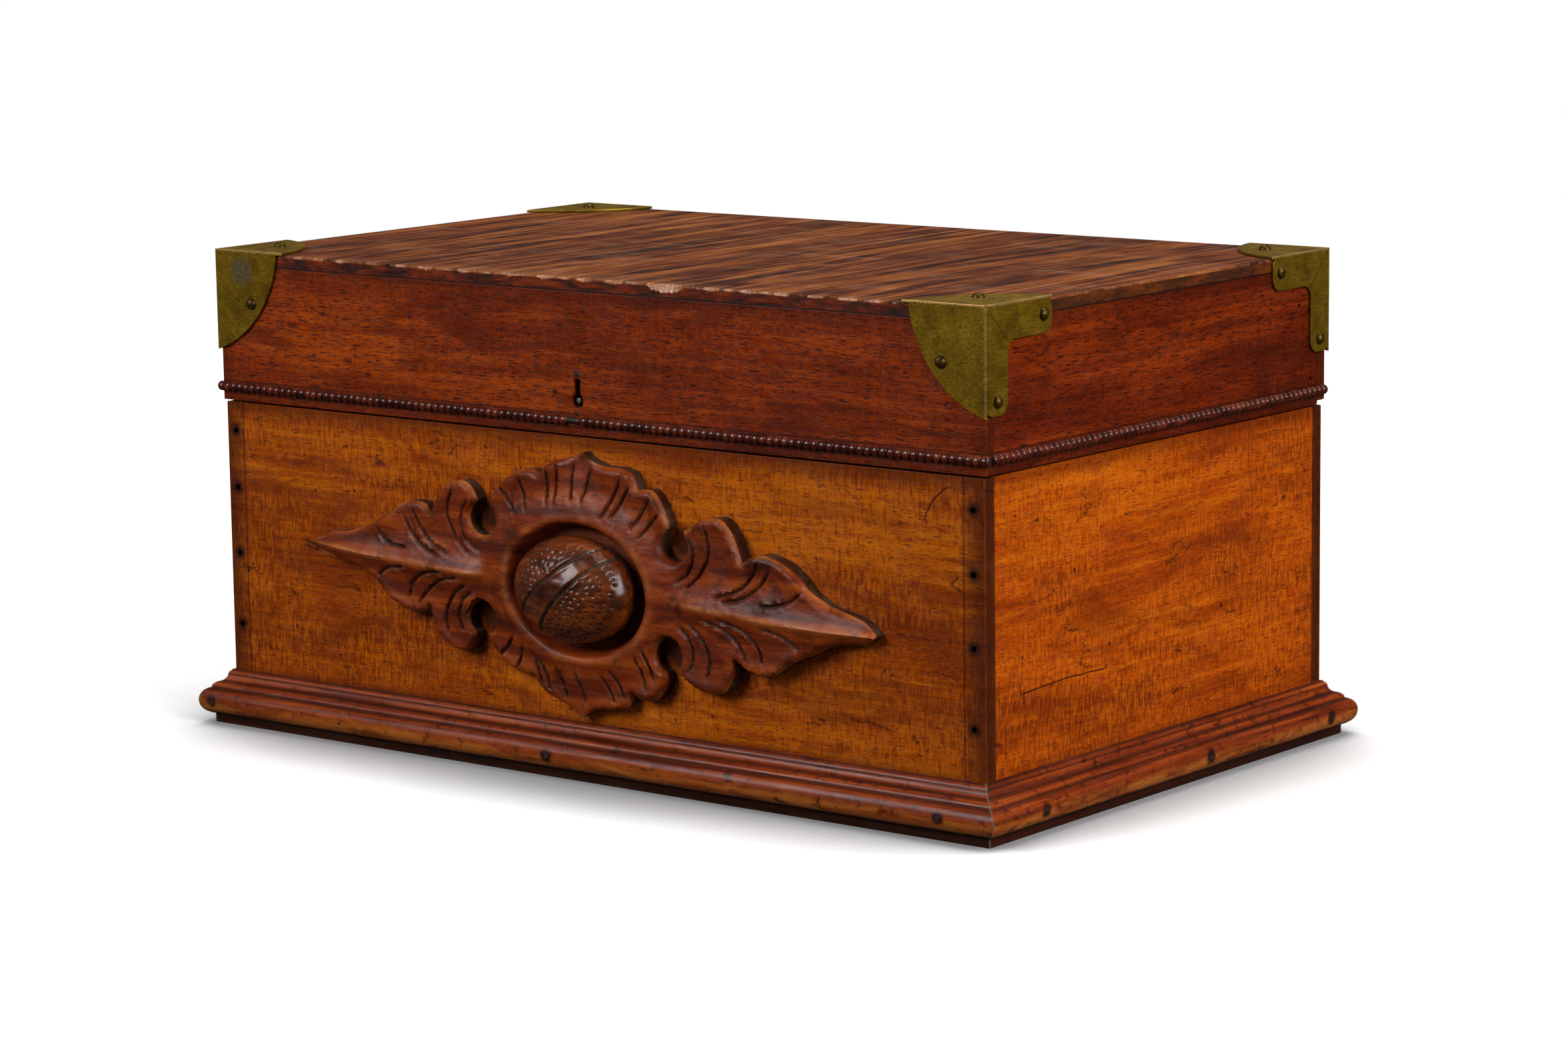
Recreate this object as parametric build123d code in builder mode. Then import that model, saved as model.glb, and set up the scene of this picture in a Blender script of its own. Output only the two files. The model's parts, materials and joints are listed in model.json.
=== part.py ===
"""A hinged-lid wooden box: brass lid corners, beaded lid edge, planted base moulding,
a carved cartouche on the case front and a spring-held sliding lock in the lid.

Millimetres. The origin is the middle of the underside, +X runs to the right along the
front, the front faces -Y and +Z is up.
"""

from build123d import *
import os

os.makedirs("parts", exist_ok=True)

# ---------------------------------------------------------------- driving dimensions

CASE_WIDTH, CASE_DEPTH = 400.0, 242.0
CASE_TOP = 140.4  # top edge of the case boards
CASE_WALL, CASE_LAP = 10.0, 6.6  # board, and what the rebate leaves to lap the sides
BASE_THICKNESS = 8.0

HINGE_LEAF = 1.0
LEAF_GAP = 0.3  # between the closed leaves
LID_BOTTOM = CASE_TOP + 2 * HINGE_LEAF + LEAF_GAP  # at the back, over the hinges
LID_SKIRT = CASE_TOP + 0.8  # the front and sides reach lower and hide the gap
LID_WIDTH, LID_DEPTH = 402.4, 243.0
LID_TOP = 205.0
LID_WALL, LID_LAP = 10.0, 5.5
VENEER = 1.0
PANEL_BOTTOM = 199.4  # underside of the lid's top panel

MOULDING_HEIGHT = 23.3
MOULDING_PROUD = 11.7

BEADING_RADIUS = 2.2
BEADING_Z = 147.05
BEADING_BACK_STOP = 4.0  # the side strips end this far before the back

BRASS = 1.2
CORNER_FACE = (36.0, 43.2)  # front or back plate: along the edge, down
CORNER_TOP = (39.0, 44.0)  # top plate: along x, along y
CORNER_ARM = 14.4
CORNER_SIDE = (43.6, 42.6)  # side plate's arms: along y, down

SCREW_HEAD_RADIUS, SCREW_HEAD_HEIGHT = 2.6, 1.9
SCREW_SHANK_RADIUS, SCREW_SHANK_LENGTH = 1.2, 6.4
SCREW_SLOT = (0.6, 0.5)  # width, depth

NAIL_RADIUS, NAIL_HEAD_RADIUS, NAIL_HEAD_HEIGHT = 0.8, 1.3, 0.6
NAIL_HEIGHTS = (43.5, 74.8, 103.3, 128.0)

HINGE_X, HINGE_LENGTH, HINGE_DEPTH = 125.0, 38.0, 11.5
HINGE_Y, HINGE_Z = CASE_DEPTH / 2 + 3.0, (CASE_TOP + LID_BOTTOM) / 2
KNUCKLE_RADIUS, HINGE_PIN_RADIUS = 2.3, 1.0
KNUCKLE_COUNT, KNUCKLE_GAP = 5, 0.25
PIN_CLEARANCE = 0.06

LOCK_X, KEYHOLE_Z = -0.5, 155.2
KEYHOLE_RADIUS, KEYHOLE_SLOT, KEYHOLE_TOP = 3.1, 3.2, 164.0
LOCK_SIZE = (56.0, 30.0)  # plate width and height
LOCK_PLATE = 1.2
LOCK_RECESS = 7.5  # into the lid front, from its inner face
WORKS_SIZE = (44.0, 24.0)
WORKS_DEPTH = 5.0
BOLT_SIZE, BOLT_THICKNESS = (24.0, 20.0), 2.5
BOLT_THROW = 5.8
STRIKE_SIZE = (50.0, 7.5)

ORNAMENT_CENTRE = (2.5, 79.3)
ORNAMENT_TILT = -1.6
ORNAMENT_EDGE = 6.5  # mean thickness of the leaves
DISH_RIM, DISH_FLOOR, DISH_SIZE = 9.5, 2.0, (73.0, 55.0)
BOSS_SEMI_AXES = (28.5, 21.3, 16.5)  # along the carving, up it, and out from the board
BOSS_CENTRE = 10.0  # its widest level, out from the board

# ---------------------------------------------------------------- derived places

CASE_X, CASE_Y = CASE_WIDTH / 2, CASE_DEPTH / 2
LID_X, LID_Y = LID_WIDTH / 2, LID_DEPTH / 2
LID_INNER_Y = LID_Y - LID_WALL
LOCK_Y = -LID_INNER_Y  # the lock plate is flush with the lid front's inner face
BOLT_Y = LOCK_Y - LOCK_PLATE - 0.2  # the bolt slides just clear of the plate


def finish(builder, name):
    """Labels a piece and writes it."""
    builder.part.label = name
    export_step(builder.part, f"parts/{name}.step")
    return builder.part


# ---------------------------------------------------------------- boards


def lapped_outline(half_x, half_y, wall, lap, face):
    """Plan of a front (face -1) or back (face +1) board, rebated to lap the sides."""
    inner_x = half_x - wall
    rows = [(half_x, half_y), (half_x, half_y - lap), (inner_x, half_y - lap), (inner_x, half_y - wall)]
    right = [(x, face * y) for x, y in rows]
    left = [(-x, y) for x, y in reversed(right)]
    return right + left


def lapped_board(half_x, half_y, wall, lap, face, bottom, top):
    with BuildPart() as board:
        with BuildSketch(Plane.XY.offset(bottom)):
            with BuildLine():
                Polyline(*lapped_outline(half_x, half_y, wall, lap, face), close=True)
            make_face()
        extrude(amount=top - bottom)
    return board


def side_board(half_x, half_y, wall, lap, side, bottom, top):
    with BuildPart() as board:
        with BuildSketch(Plane.XY.offset(bottom)):
            with Locations((side * (half_x - wall / 2), 0)):
                Rectangle(wall, 2 * (half_y - lap))
        extrude(amount=top - bottom)
    return board


with BuildPart() as base_board:
    with BuildSketch(Plane.XY):
        Rectangle(CASE_WIDTH, CASE_DEPTH)
    extrude(amount=BASE_THICKNESS)
finish(base_board, "base_board")

case_size = (CASE_X, CASE_Y, CASE_WALL, CASE_LAP)
finish(lapped_board(*case_size, +1, BASE_THICKNESS, CASE_TOP), "case_back")
finish(side_board(*case_size, -1, BASE_THICKNESS, CASE_TOP), "case_left_side")
finish(side_board(*case_size, +1, BASE_THICKNESS, CASE_TOP), "case_right_side")

STRIKE_Y = LOCK_Y - STRIKE_SIZE[1] / 2
MORTISE = (BOLT_SIZE[0] + 1.0, BOLT_THICKNESS + 1.0)  # clearance round the bolt's head
MORTISE_Y = BOLT_Y - BOLT_THICKNESS / 2
MORTISE_DEPTH = 7.4

with BuildPart() as case_front:
    add(lapped_board(*case_size, -1, BASE_THICKNESS, CASE_TOP).part)
    with BuildSketch(Plane.XY.offset(CASE_TOP)):
        with Locations((LOCK_X, STRIKE_Y)):
            Rectangle(*STRIKE_SIZE)
    extrude(amount=-BRASS, mode=Mode.SUBTRACT)
    with BuildSketch(Plane.XY.offset(CASE_TOP)):
        with Locations((LOCK_X, MORTISE_Y)):
            Rectangle(*MORTISE)
    extrude(amount=-MORTISE_DEPTH, mode=Mode.SUBTRACT)
finish(case_front, "case_front")

lid_size = (LID_X, LID_Y, LID_WALL, LID_LAP)
finish(lapped_board(*lid_size, +1, LID_BOTTOM, PANEL_BOTTOM), "lid_back")
finish(side_board(*lid_size, -1, LID_SKIRT, PANEL_BOTTOM), "lid_left_side")
finish(side_board(*lid_size, +1, LID_SKIRT, PANEL_BOTTOM), "lid_right_side")


def keyhole_sketch(radius, slot):
    """An upside-down keyhole: the round part is below and the slot runs up from it."""
    with Locations((LOCK_X, KEYHOLE_Z)):
        Circle(radius)
    with Locations((LOCK_X, (KEYHOLE_Z + KEYHOLE_TOP) / 2)):
        Rectangle(slot, KEYHOLE_TOP - KEYHOLE_Z)


with BuildPart() as lid_front:
    add(lapped_board(*lid_size, -1, LID_SKIRT, PANEL_BOTTOM).part)
    skirt = LID_BOTTOM - LID_SKIRT
    for (width, height), bottom, depth in (
        ((LOCK_SIZE[0], LOCK_SIZE[1] + skirt), LID_SKIRT, LOCK_PLATE),  # let in for the plate
        (WORKS_SIZE, LID_BOTTOM + LOCK_PLATE, LOCK_RECESS),  # for the works
        ((LOCK_SIZE[0], LOCK_PLATE + skirt), LID_SKIRT, LOCK_RECESS),  # for the selvedge
    ):
        with BuildSketch(Plane.XZ.offset(LID_INNER_Y)):
            with Locations((LOCK_X, bottom + height / 2)):
                Rectangle(width, height)
        extrude(amount=depth, mode=Mode.SUBTRACT)
    with BuildSketch(Plane.XZ.offset(LID_INNER_Y)):
        keyhole_sketch(KEYHOLE_RADIUS, KEYHOLE_SLOT)
    extrude(amount=LID_WALL, mode=Mode.SUBTRACT)
finish(lid_front, "lid_front")

with BuildPart() as lid_top_panel:
    with BuildSketch(Plane.XY.offset(PANEL_BOTTOM)):
        Rectangle(LID_WIDTH, LID_DEPTH)
    extrude(amount=LID_TOP - VENEER - PANEL_BOTTOM)
finish(lid_top_panel, "lid_top_panel")

with BuildPart() as lid_top_veneer:
    with BuildSketch(Plane.XY.offset(LID_TOP - VENEER)):
        Rectangle(LID_WIDTH, LID_DEPTH)
    extrude(amount=VENEER)
    fillet(lid_top_veneer.faces().sort_by(Axis.Z)[-1].edges(), radius=0.7 * VENEER)
finish(lid_top_veneer, "lid_top_veneer")

# ---------------------------------------------------------------- base moulding


def moulding(outward, wall_distance, half_length):
    """One planted length: bead, cove, small bead, torus and fascia, mitred at both ends."""
    outward = Vector(*outward)
    along = outward.cross(Vector(0, 0, 1))
    top = MOULDING_HEIGHT
    with BuildPart() as length:
        with BuildSketch(Plane(outward * wall_distance, x_dir=outward, z_dir=along)):
            with BuildLine():
                Line((0, 0), (0, top))
                ThreePointArc((0, top), (1.5, top - 0.9), (2.4, top - 2.2))
                ThreePointArc((2.4, top - 2.2), (3.1, top - 4.1), (4.5, top - 5.2))
                ThreePointArc((4.5, top - 5.2), (6.9, top - 6.3), (7.7, top - 8.1))
                Line((7.7, top - 8.1), (8.5, top - 8.1))
                ThreePointArc((8.5, top - 8.1), (MOULDING_PROUD, top - 13.4), (7.7, top - 19.2))
                Polyline((7.7, top - 19.2), (6.6, top - 19.2), (6.6, 0), (0, 0))
            make_face()
        extrude(amount=half_length + MOULDING_PROUD, both=True)
        for end in (-1, 1):
            corner = outward * wall_distance + along * (end * half_length)
            split(bisect_by=Plane(corner, z_dir=along * end - outward), keep=Keep.BOTTOM)
    return length


finish(moulding((0, -1, 0), CASE_Y, CASE_X), "base_moulding_front")
finish(moulding((0, 1, 0), CASE_Y, CASE_X), "base_moulding_back")
finish(moulding((-1, 0, 0), CASE_X, CASE_Y), "base_moulding_left")
finish(moulding((1, 0, 0), CASE_X, CASE_Y), "base_moulding_right")

# ---------------------------------------------------------------- beading on the lid


def beading(outward, wall_distance, start, length):
    """A half-round strip that carries the beads, from start along outward x Z."""
    outward = Vector(*outward)
    along = outward.cross(Vector(0, 0, 1))
    origin = outward * wall_distance + Vector(0, 0, BEADING_Z) + along * start
    with BuildPart() as strip:
        with BuildSketch(Plane(origin, x_dir=outward, z_dir=along)):
            with BuildLine():
                Line((0, -BEADING_RADIUS), (0, BEADING_RADIUS))
                ThreePointArc((0, BEADING_RADIUS), (BEADING_RADIUS, 0), (0, -BEADING_RADIUS))
            make_face()
        extrude(amount=length)
    return strip


SIDE_BEADING = LID_DEPTH - BEADING_BACK_STOP
finish(beading((0, -1, 0), LID_Y, -LID_X, LID_WIDTH), "beading_front")
finish(beading((-1, 0, 0), LID_X, -LID_Y + BEADING_BACK_STOP, SIDE_BEADING), "beading_left")
finish(beading((1, 0, 0), LID_X, -LID_Y, SIDE_BEADING), "beading_right")

# ---------------------------------------------------------------- screws and nails

with BuildPart() as round_screw:
    with BuildSketch(Plane.XZ):
        with BuildLine():
            Line((0, 0), (0, SCREW_HEAD_HEIGHT))
            dome_shoulder = (0.72 * SCREW_HEAD_RADIUS, 0.72 * SCREW_HEAD_HEIGHT)
            ThreePointArc((0, SCREW_HEAD_HEIGHT), dome_shoulder, (SCREW_HEAD_RADIUS, 0))
            Line((SCREW_HEAD_RADIUS, 0), (0, 0))
        make_face()
    revolve(axis=Axis.Z)
    with BuildSketch(Plane.XY.offset(SCREW_HEAD_HEIGHT)):
        Rectangle(3 * SCREW_HEAD_RADIUS, SCREW_SLOT[0])
    extrude(amount=-SCREW_SLOT[1], mode=Mode.SUBTRACT)
    with BuildSketch(Plane.XY):
        Circle(SCREW_SHANK_RADIUS)
    extrude(amount=-SCREW_SHANK_LENGTH)


def flush_fastener(head_radius, head_height, shank_radius, length):
    """A countersunk screw or nail whose head is flush with the plane it is placed on."""
    with BuildPart() as fastener:
        with BuildSketch(Plane.XZ):
            with BuildLine():
                neck = (shank_radius, -head_height)
                Polyline((0, 0), (head_radius, 0), neck, (shank_radius, -length), (0, -length), close=True)
            make_face()
        revolve(axis=Axis.Z)
    return fastener.part


# ---------------------------------------------------------------- brass lid corners

OUT_X, OUT_Y, OUT_Z = LID_X + BRASS, LID_Y + BRASS, LID_TOP + BRASS
face_w, face_h = CORNER_FACE
top_x, top_y = CORNER_TOP
side_y, side_h = CORNER_SIDE
BULGE = (0.70, 0.61)  # a point on each curved edge, as shares of the plate's width and height

with BuildPart() as lid_corner_front_right:
    with BuildSketch(Plane.XZ.offset(LID_Y)):  # the front plate, a quarter round
        with BuildLine():
            bulge = (OUT_X - BULGE[0] * face_w, OUT_Z - BULGE[1] * face_h)
            Polyline((OUT_X - face_w, OUT_Z), (OUT_X, OUT_Z), (OUT_X, OUT_Z - face_h))
            ThreePointArc((OUT_X, OUT_Z - face_h), bulge, (OUT_X - face_w, OUT_Z))
        make_face()
    extrude(amount=BRASS)
    with BuildSketch(Plane.XY.offset(LID_TOP)):  # the top plate
        with BuildLine():
            bulge = (OUT_X - BULGE[0] * top_x, -OUT_Y + BULGE[1] * top_y)
            Polyline((OUT_X - top_x, -OUT_Y), (OUT_X, -OUT_Y), (OUT_X, -OUT_Y + top_y))
            ThreePointArc((OUT_X, -OUT_Y + top_y), bulge, (OUT_X - top_x, -OUT_Y))
        make_face()
    extrude(amount=BRASS)
    with BuildSketch(Plane.YZ.offset(LID_X)) as side_plate:  # the side plate, an L
        with BuildLine():
            Polyline(
                (-OUT_Y, OUT_Z),
                (-OUT_Y + side_y, OUT_Z),
                (-OUT_Y + side_y, OUT_Z - CORNER_ARM),
                (-OUT_Y + CORNER_ARM, OUT_Z - CORNER_ARM),
                (-OUT_Y + CORNER_ARM, OUT_Z - side_h),
                (-OUT_Y, OUT_Z - side_h),
                close=True,
            )
        make_face()
        arm_ends = side_plate.vertices().filter_by(
            lambda v: (v.Y > -OUT_Y + side_y - 1 and v.Z < OUT_Z - 1)
            or (v.Z < OUT_Z - side_h + 1 and v.Y > -OUT_Y + 1)
        )
        fillet(arm_ends, radius=5.0)
    extrude(amount=BRASS)
    with BuildSketch(Plane.XY.offset(LID_TOP)):  # keep clear of the wood
        Rectangle(LID_WIDTH, LID_DEPTH)
    extrude(amount=LID_BOTTOM - LID_TOP, mode=Mode.SUBTRACT)

SCREW_FACE = Plane((LID_X - 19.6, -OUT_Y, OUT_Z - 22.6), x_dir=(0.5, 0, 0.8), z_dir=(0, -1, 0))
SCREW_SIDE_TOP = Plane((OUT_X, -OUT_Y + 38.0, OUT_Z - 7.0), x_dir=(0, 0.9, 0.3), z_dir=(1, 0, 0))
SCREW_SIDE_LOW = Plane((OUT_X, -OUT_Y + 7.6, OUT_Z - 37.2), x_dir=(0, 0.2, 0.9), z_dir=(1, 0, 0))
SCREW_TOP = Plane((LID_X - 17.0, -OUT_Y + 21.0, OUT_Z), x_dir=(0.8, 0.5, 0), z_dir=(0, 0, 1))

with BuildPart() as corner_screw_set:
    for place in (SCREW_FACE, SCREW_SIDE_TOP, SCREW_SIDE_LOW, SCREW_TOP):
        with Locations(place):
            add(round_screw.part)

with BuildPart() as corner_plate:
    add(lid_corner_front_right.part)
    for place in (SCREW_FACE, SCREW_SIDE_TOP, SCREW_SIDE_LOW, SCREW_TOP):
        with Locations(place):
            Cylinder(SCREW_SHANK_RADIUS, 6 * BRASS, mode=Mode.SUBTRACT)

MIRRORS = {
    "front_right": (),
    "front_left": (Plane.YZ,),
    "back_right": (Plane.XZ,),
    "back_left": (Plane.YZ, Plane.XZ),
}


def mirrored(part, planes):
    for plane in planes:
        part = part.mirror(plane)
    return part


for corner, planes in MIRRORS.items():
    with BuildPart() as plate:
        add(mirrored(corner_plate.part, planes))
    finish(plate, f"lid_corner_{corner}")

with BuildPart() as lid_corner_screws:
    for planes in MIRRORS.values():
        add(mirrored(corner_screw_set.part, planes))
finish(lid_corner_screws, "lid_corner_screws")

# ---------------------------------------------------------------- nails

nail = flush_fastener(NAIL_HEAD_RADIUS, NAIL_HEAD_HEIGHT, NAIL_RADIUS, 24.0)
NAIL_LINE = CASE_X - CASE_WALL / 2

for face, name in ((-1, "case_front_nails"), (1, "case_back_nails")):
    with BuildPart() as nails:
        for x in (-NAIL_LINE, NAIL_LINE):
            for z in NAIL_HEIGHTS:
                with Locations(Plane((x, face * CASE_Y, z), x_dir=(1, 0, 0), z_dir=(0, face, 0))):
                    add(nail)
    finish(nails, name)

moulding_nail = flush_fastener(NAIL_HEAD_RADIUS, NAIL_HEAD_HEIGHT, NAIL_RADIUS, 18.0)
TORUS_Z = MOULDING_HEIGHT - 13.4

with BuildPart() as moulding_nails:
    for face in (-1, 1):
        for x in (-204.0, -12.0, 185.5):
            place = Plane((x, face * (CASE_Y + MOULDING_PROUD), TORUS_Z), x_dir=(1, 0, 0), z_dir=(0, face, 0))
            with Locations(place):
                add(moulding_nail)
        for y in (-97.0, 19.0, 112.0):
            place = Plane((face * (CASE_X + MOULDING_PROUD), y, TORUS_Z), x_dir=(0, 1, 0), z_dir=(face, 0, 0))
            with Locations(place):
                add(moulding_nail)
finish(moulding_nails, "moulding_nails")

with BuildPart() as lid_side_nails:
    for y, z in ((101.0, 184.0), (110.0, 153.0)):
        with Locations(Plane((LID_X, y, z), x_dir=(0, 1, 0), z_dir=(1, 0, 0))):
            add(flush_fastener(0.9, NAIL_HEAD_HEIGHT, 0.6, 9.0))
finish(lid_side_nails, "lid_side_nails")

# ---------------------------------------------------------------- hinges

KNUCKLE_LENGTH = (HINGE_LENGTH - (KNUCKLE_COUNT - 1) * KNUCKLE_GAP) / KNUCKLE_COUNT
LEAF_INNER_Y = CASE_Y - HINGE_DEPTH + 3.0
LEAF_OUTER_Y = HINGE_Y - KNUCKLE_RADIUS - 0.3  # short of the other leaf's knuckles
LEAF_SCREW_Y = (LEAF_INNER_Y + CASE_Y) / 2
LEAF_SCREW_XS = (-12.5, 0.0, 12.5)
HINGE_SCREW_HEAD, HINGE_SCREW_SHANK, HINGE_SCREW_LENGTH = 1.9, 1.0, 8.0

hinge_screw = flush_fastener(HINGE_SCREW_HEAD, HINGE_LEAF, HINGE_SCREW_SHANK, HINGE_SCREW_LENGTH)


def knuckle_centres(centre_x, first):
    """Every second knuckle along the barrel, from the first one given."""
    start = centre_x - HINGE_LENGTH / 2 + KNUCKLE_LENGTH / 2
    return [start + i * (KNUCKLE_LENGTH + KNUCKLE_GAP) for i in range(first, KNUCKLE_COUNT, 2)]


def hinge_leaf(centre_x, bottom, first_knuckle, bore, countersunk_from):
    """A leaf with its knuckles. countersunk_from is +1 from above and -1 from below."""
    middle = bottom + HINGE_LEAF / 2
    with BuildPart() as leaf:
        with Locations((centre_x, (LEAF_INNER_Y + LEAF_OUTER_Y) / 2, middle)):
            Box(HINGE_LENGTH, LEAF_OUTER_Y - LEAF_INNER_Y, HINGE_LEAF)
        for x in knuckle_centres(centre_x, first_knuckle):
            with Locations((x, (LEAF_INNER_Y + HINGE_Y) / 2, middle)):
                Box(KNUCKLE_LENGTH, HINGE_Y - LEAF_INNER_Y, HINGE_LEAF)
            with Locations((x, HINGE_Y, HINGE_Z)):
                Cylinder(KNUCKLE_RADIUS, KNUCKLE_LENGTH, rotation=(0, 90, 0))
        for x in knuckle_centres(centre_x, first_knuckle):
            with Locations((x, HINGE_Y, HINGE_Z)):
                Cylinder(bore, KNUCKLE_LENGTH, rotation=(0, 90, 0), mode=Mode.SUBTRACT)
        for x in LEAF_SCREW_XS:
            face = Plane(
                (centre_x + x, LEAF_SCREW_Y, middle + countersunk_from * HINGE_LEAF / 2),
                x_dir=(1, 0, 0),
                z_dir=(0, 0, countersunk_from),
            )
            with Locations(face):
                add(hinge_screw, mode=Mode.SUBTRACT)
    return leaf


for side, name in ((-1, "left"), (1, "right")):
    x = side * HINGE_X
    finish(hinge_leaf(x, CASE_TOP, 0, HINGE_PIN_RADIUS, 1), f"hinge_{name}_case_leaf")
    bore = HINGE_PIN_RADIUS + PIN_CLEARANCE
    finish(hinge_leaf(x, LID_BOTTOM - HINGE_LEAF, 1, bore, -1), f"hinge_{name}_lid_leaf")

with BuildPart() as hinge_pins:
    with Locations((-HINGE_X, HINGE_Y, HINGE_Z), (HINGE_X, HINGE_Y, HINGE_Z)):
        Cylinder(HINGE_PIN_RADIUS, HINGE_LENGTH, rotation=(0, 90, 0))
finish(hinge_pins, "hinge_pins")

for name, height, up in (
    ("hinge_case_screws", CASE_TOP + HINGE_LEAF, 1),
    ("hinge_lid_screws", LID_BOTTOM - HINGE_LEAF, -1),
):
    with BuildPart() as screws:
        for side in (-1, 1):
            for x in LEAF_SCREW_XS:
                where = (side * HINGE_X + x, LEAF_SCREW_Y, height)
                with Locations(Plane(where, x_dir=(1, 0, 0), z_dir=(0, 0, up))):
                    add(hinge_screw)
    finish(screws, name)

# ---------------------------------------------------------------- lock in the lid front

PLATE_BACK = Plane.XZ.offset(LID_INNER_Y)  # the inner face of the lid front, facing -Y
WORKS_BOTTOM = LID_BOTTOM + LOCK_PLATE
WORKS_MIDDLE = WORKS_BOTTOM + WORKS_SIZE[1] / 2
RIM = 1.0

lock_screw = flush_fastener(1.6, LOCK_PLATE, 0.9, 7.0)

with BuildPart() as lock_screws:
    for x in (-25.0, 25.0):
        for z in (LID_BOTTOM + 7.0, LID_BOTTOM + LOCK_SIZE[1] - 4.0):
            with Locations(Plane((LOCK_X + x, LOCK_Y, z), x_dir=(1, 0, 0), z_dir=(0, 1, 0))):
                add(lock_screw)
finish(lock_screws, "lock_screws")

with BuildPart() as lock_case:
    with BuildSketch(PLATE_BACK):
        with Locations((LOCK_X, LID_BOTTOM + LOCK_SIZE[1] / 2)):
            Rectangle(*LOCK_SIZE)
    extrude(amount=LOCK_PLATE)
    with BuildSketch(Plane.XY.offset(LID_BOTTOM)):  # the selvedge, just above the lid's lower edge
        with Locations((LOCK_X, LOCK_Y - LOCK_RECESS / 2)):
            Rectangle(LOCK_SIZE[0], LOCK_RECESS)
    extrude(amount=LOCK_PLATE)
    with BuildSketch(PLATE_BACK):  # the rim round the works
        with Locations((LOCK_X, WORKS_MIDDLE)):
            Rectangle(*WORKS_SIZE)
            Rectangle(WORKS_SIZE[0] - 2 * RIM, WORKS_SIZE[1] - 2 * RIM, mode=Mode.SUBTRACT)
    extrude(amount=LOCK_PLATE + WORKS_DEPTH)
    with BuildSketch(Plane.XY.offset(LID_BOTTOM)):  # the bolt's slot
        with Locations((LOCK_X, MORTISE_Y)):
            Rectangle(BOLT_SIZE[0] + 0.4, BOLT_THICKNESS + 0.4)
    extrude(amount=LOCK_PLATE + RIM, mode=Mode.SUBTRACT)
    add(lock_screws.part, mode=Mode.SUBTRACT)
finish(lock_case, "lock_case")

with BuildPart() as lock_cap:
    with BuildSketch(PLATE_BACK.offset(LOCK_PLATE + WORKS_DEPTH)):
        with Locations((LOCK_X, WORKS_MIDDLE)):
            Rectangle(*WORKS_SIZE)
    extrude(amount=1.0)
    with BuildSketch(PLATE_BACK.offset(LOCK_PLATE + WORKS_DEPTH)):
        keyhole_sketch(KEYHOLE_RADIUS, KEYHOLE_SLOT)
    extrude(amount=1.0, mode=Mode.SUBTRACT)
finish(lock_cap, "lock_cap")

DRILL_PIN_RADIUS, DRILL_PIN_LENGTH = 1.1, 8.0

with BuildPart() as lock_drill_pin:
    with BuildSketch(PLATE_BACK.offset(LOCK_PLATE)):
        with Locations((LOCK_X, KEYHOLE_Z)):
            Circle(DRILL_PIN_RADIUS)
    extrude(amount=DRILL_PIN_LENGTH)
finish(lock_drill_pin, "lock_drill_pin")

BOLT_SHOULDER = WORKS_BOTTOM + RIM + BOLT_THROW + 0.2  # stops just short of the selvedge
BOLT_SLOT = 2 * DRILL_PIN_RADIUS + 1.0

with BuildPart() as lock_bolt:
    with BuildSketch(Plane.XZ.offset(-BOLT_Y)):
        with Locations((LOCK_X, LID_BOTTOM)):
            Rectangle(*BOLT_SIZE, align=(Align.CENTER, Align.MIN))
        with Locations((LOCK_X, BOLT_SHOULDER)):
            shoulder_height = LID_BOTTOM + BOLT_SIZE[1] - BOLT_SHOULDER
            Rectangle(BOLT_SIZE[0] + 5, shoulder_height, align=(Align.CENTER, Align.MIN))
        with Locations((LOCK_X, KEYHOLE_Z - DRILL_PIN_RADIUS - 0.5)):
            Rectangle(BOLT_SLOT, BOLT_SIZE[1], align=(Align.CENTER, Align.MIN), mode=Mode.SUBTRACT)
    extrude(amount=BOLT_THICKNESS)
finish(lock_bolt, "lock_bolt")

SPRING_Z = LID_BOTTOM + BOLT_SIZE[1] + 0.6
SPRING_RISE = 1.6

with BuildPart() as lock_backspring:
    with BuildSketch(Plane.XZ.offset(-BOLT_Y)):
        with BuildLine():
            reach = WORKS_SIZE[0] / 2 - RIM
            ends = [(LOCK_X - reach, SPRING_Z + SPRING_RISE), (LOCK_X + reach, SPRING_Z + SPRING_RISE)]
            inner = ThreePointArc(ends[0], (LOCK_X, SPRING_Z), ends[1])
            raised = [(x, z + 0.4) for x, z in ends]
            outer = ThreePointArc(raised[0], (LOCK_X, SPRING_Z + 0.4), raised[1])
            Line(ends[0], raised[0])
            Line(ends[1], raised[1])
        make_face()
    extrude(amount=BOLT_THICKNESS)
finish(lock_backspring, "lock_backspring")

strike_screw = flush_fastener(1.9, BRASS, 1.0, 9.0)
STRIKE_SCREW_XS = (LOCK_X - 20.0, LOCK_X + 20.0)

with BuildPart() as strike_screws:
    for x in STRIKE_SCREW_XS:
        with Locations((x, STRIKE_Y, CASE_TOP)):
            add(strike_screw)
finish(strike_screws, "strike_screws")

with BuildPart() as strike_plate:
    with BuildSketch(Plane.XY.offset(CASE_TOP - BRASS)):
        with Locations((LOCK_X, STRIKE_Y)):
            Rectangle(*STRIKE_SIZE)
        with Locations((LOCK_X, MORTISE_Y)):
            Rectangle(*MORTISE, mode=Mode.SUBTRACT)
    extrude(amount=BRASS)
    add(strike_screws.part, mode=Mode.SUBTRACT)
finish(strike_plate, "strike_plate")

# ---------------------------------------------------------------- carved ornament

ornament_origin = Vector(ORNAMENT_CENTRE[0], -CASE_Y, ORNAMENT_CENTRE[1])
ornament_x = Vector(1, 0, 0).rotate(Axis((0, 0, 0), (0, -1, 0)), ORNAMENT_TILT)
ornament_plane = Plane(ornament_origin, x_dir=ornament_x, z_dir=(0, -1, 0))

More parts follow.
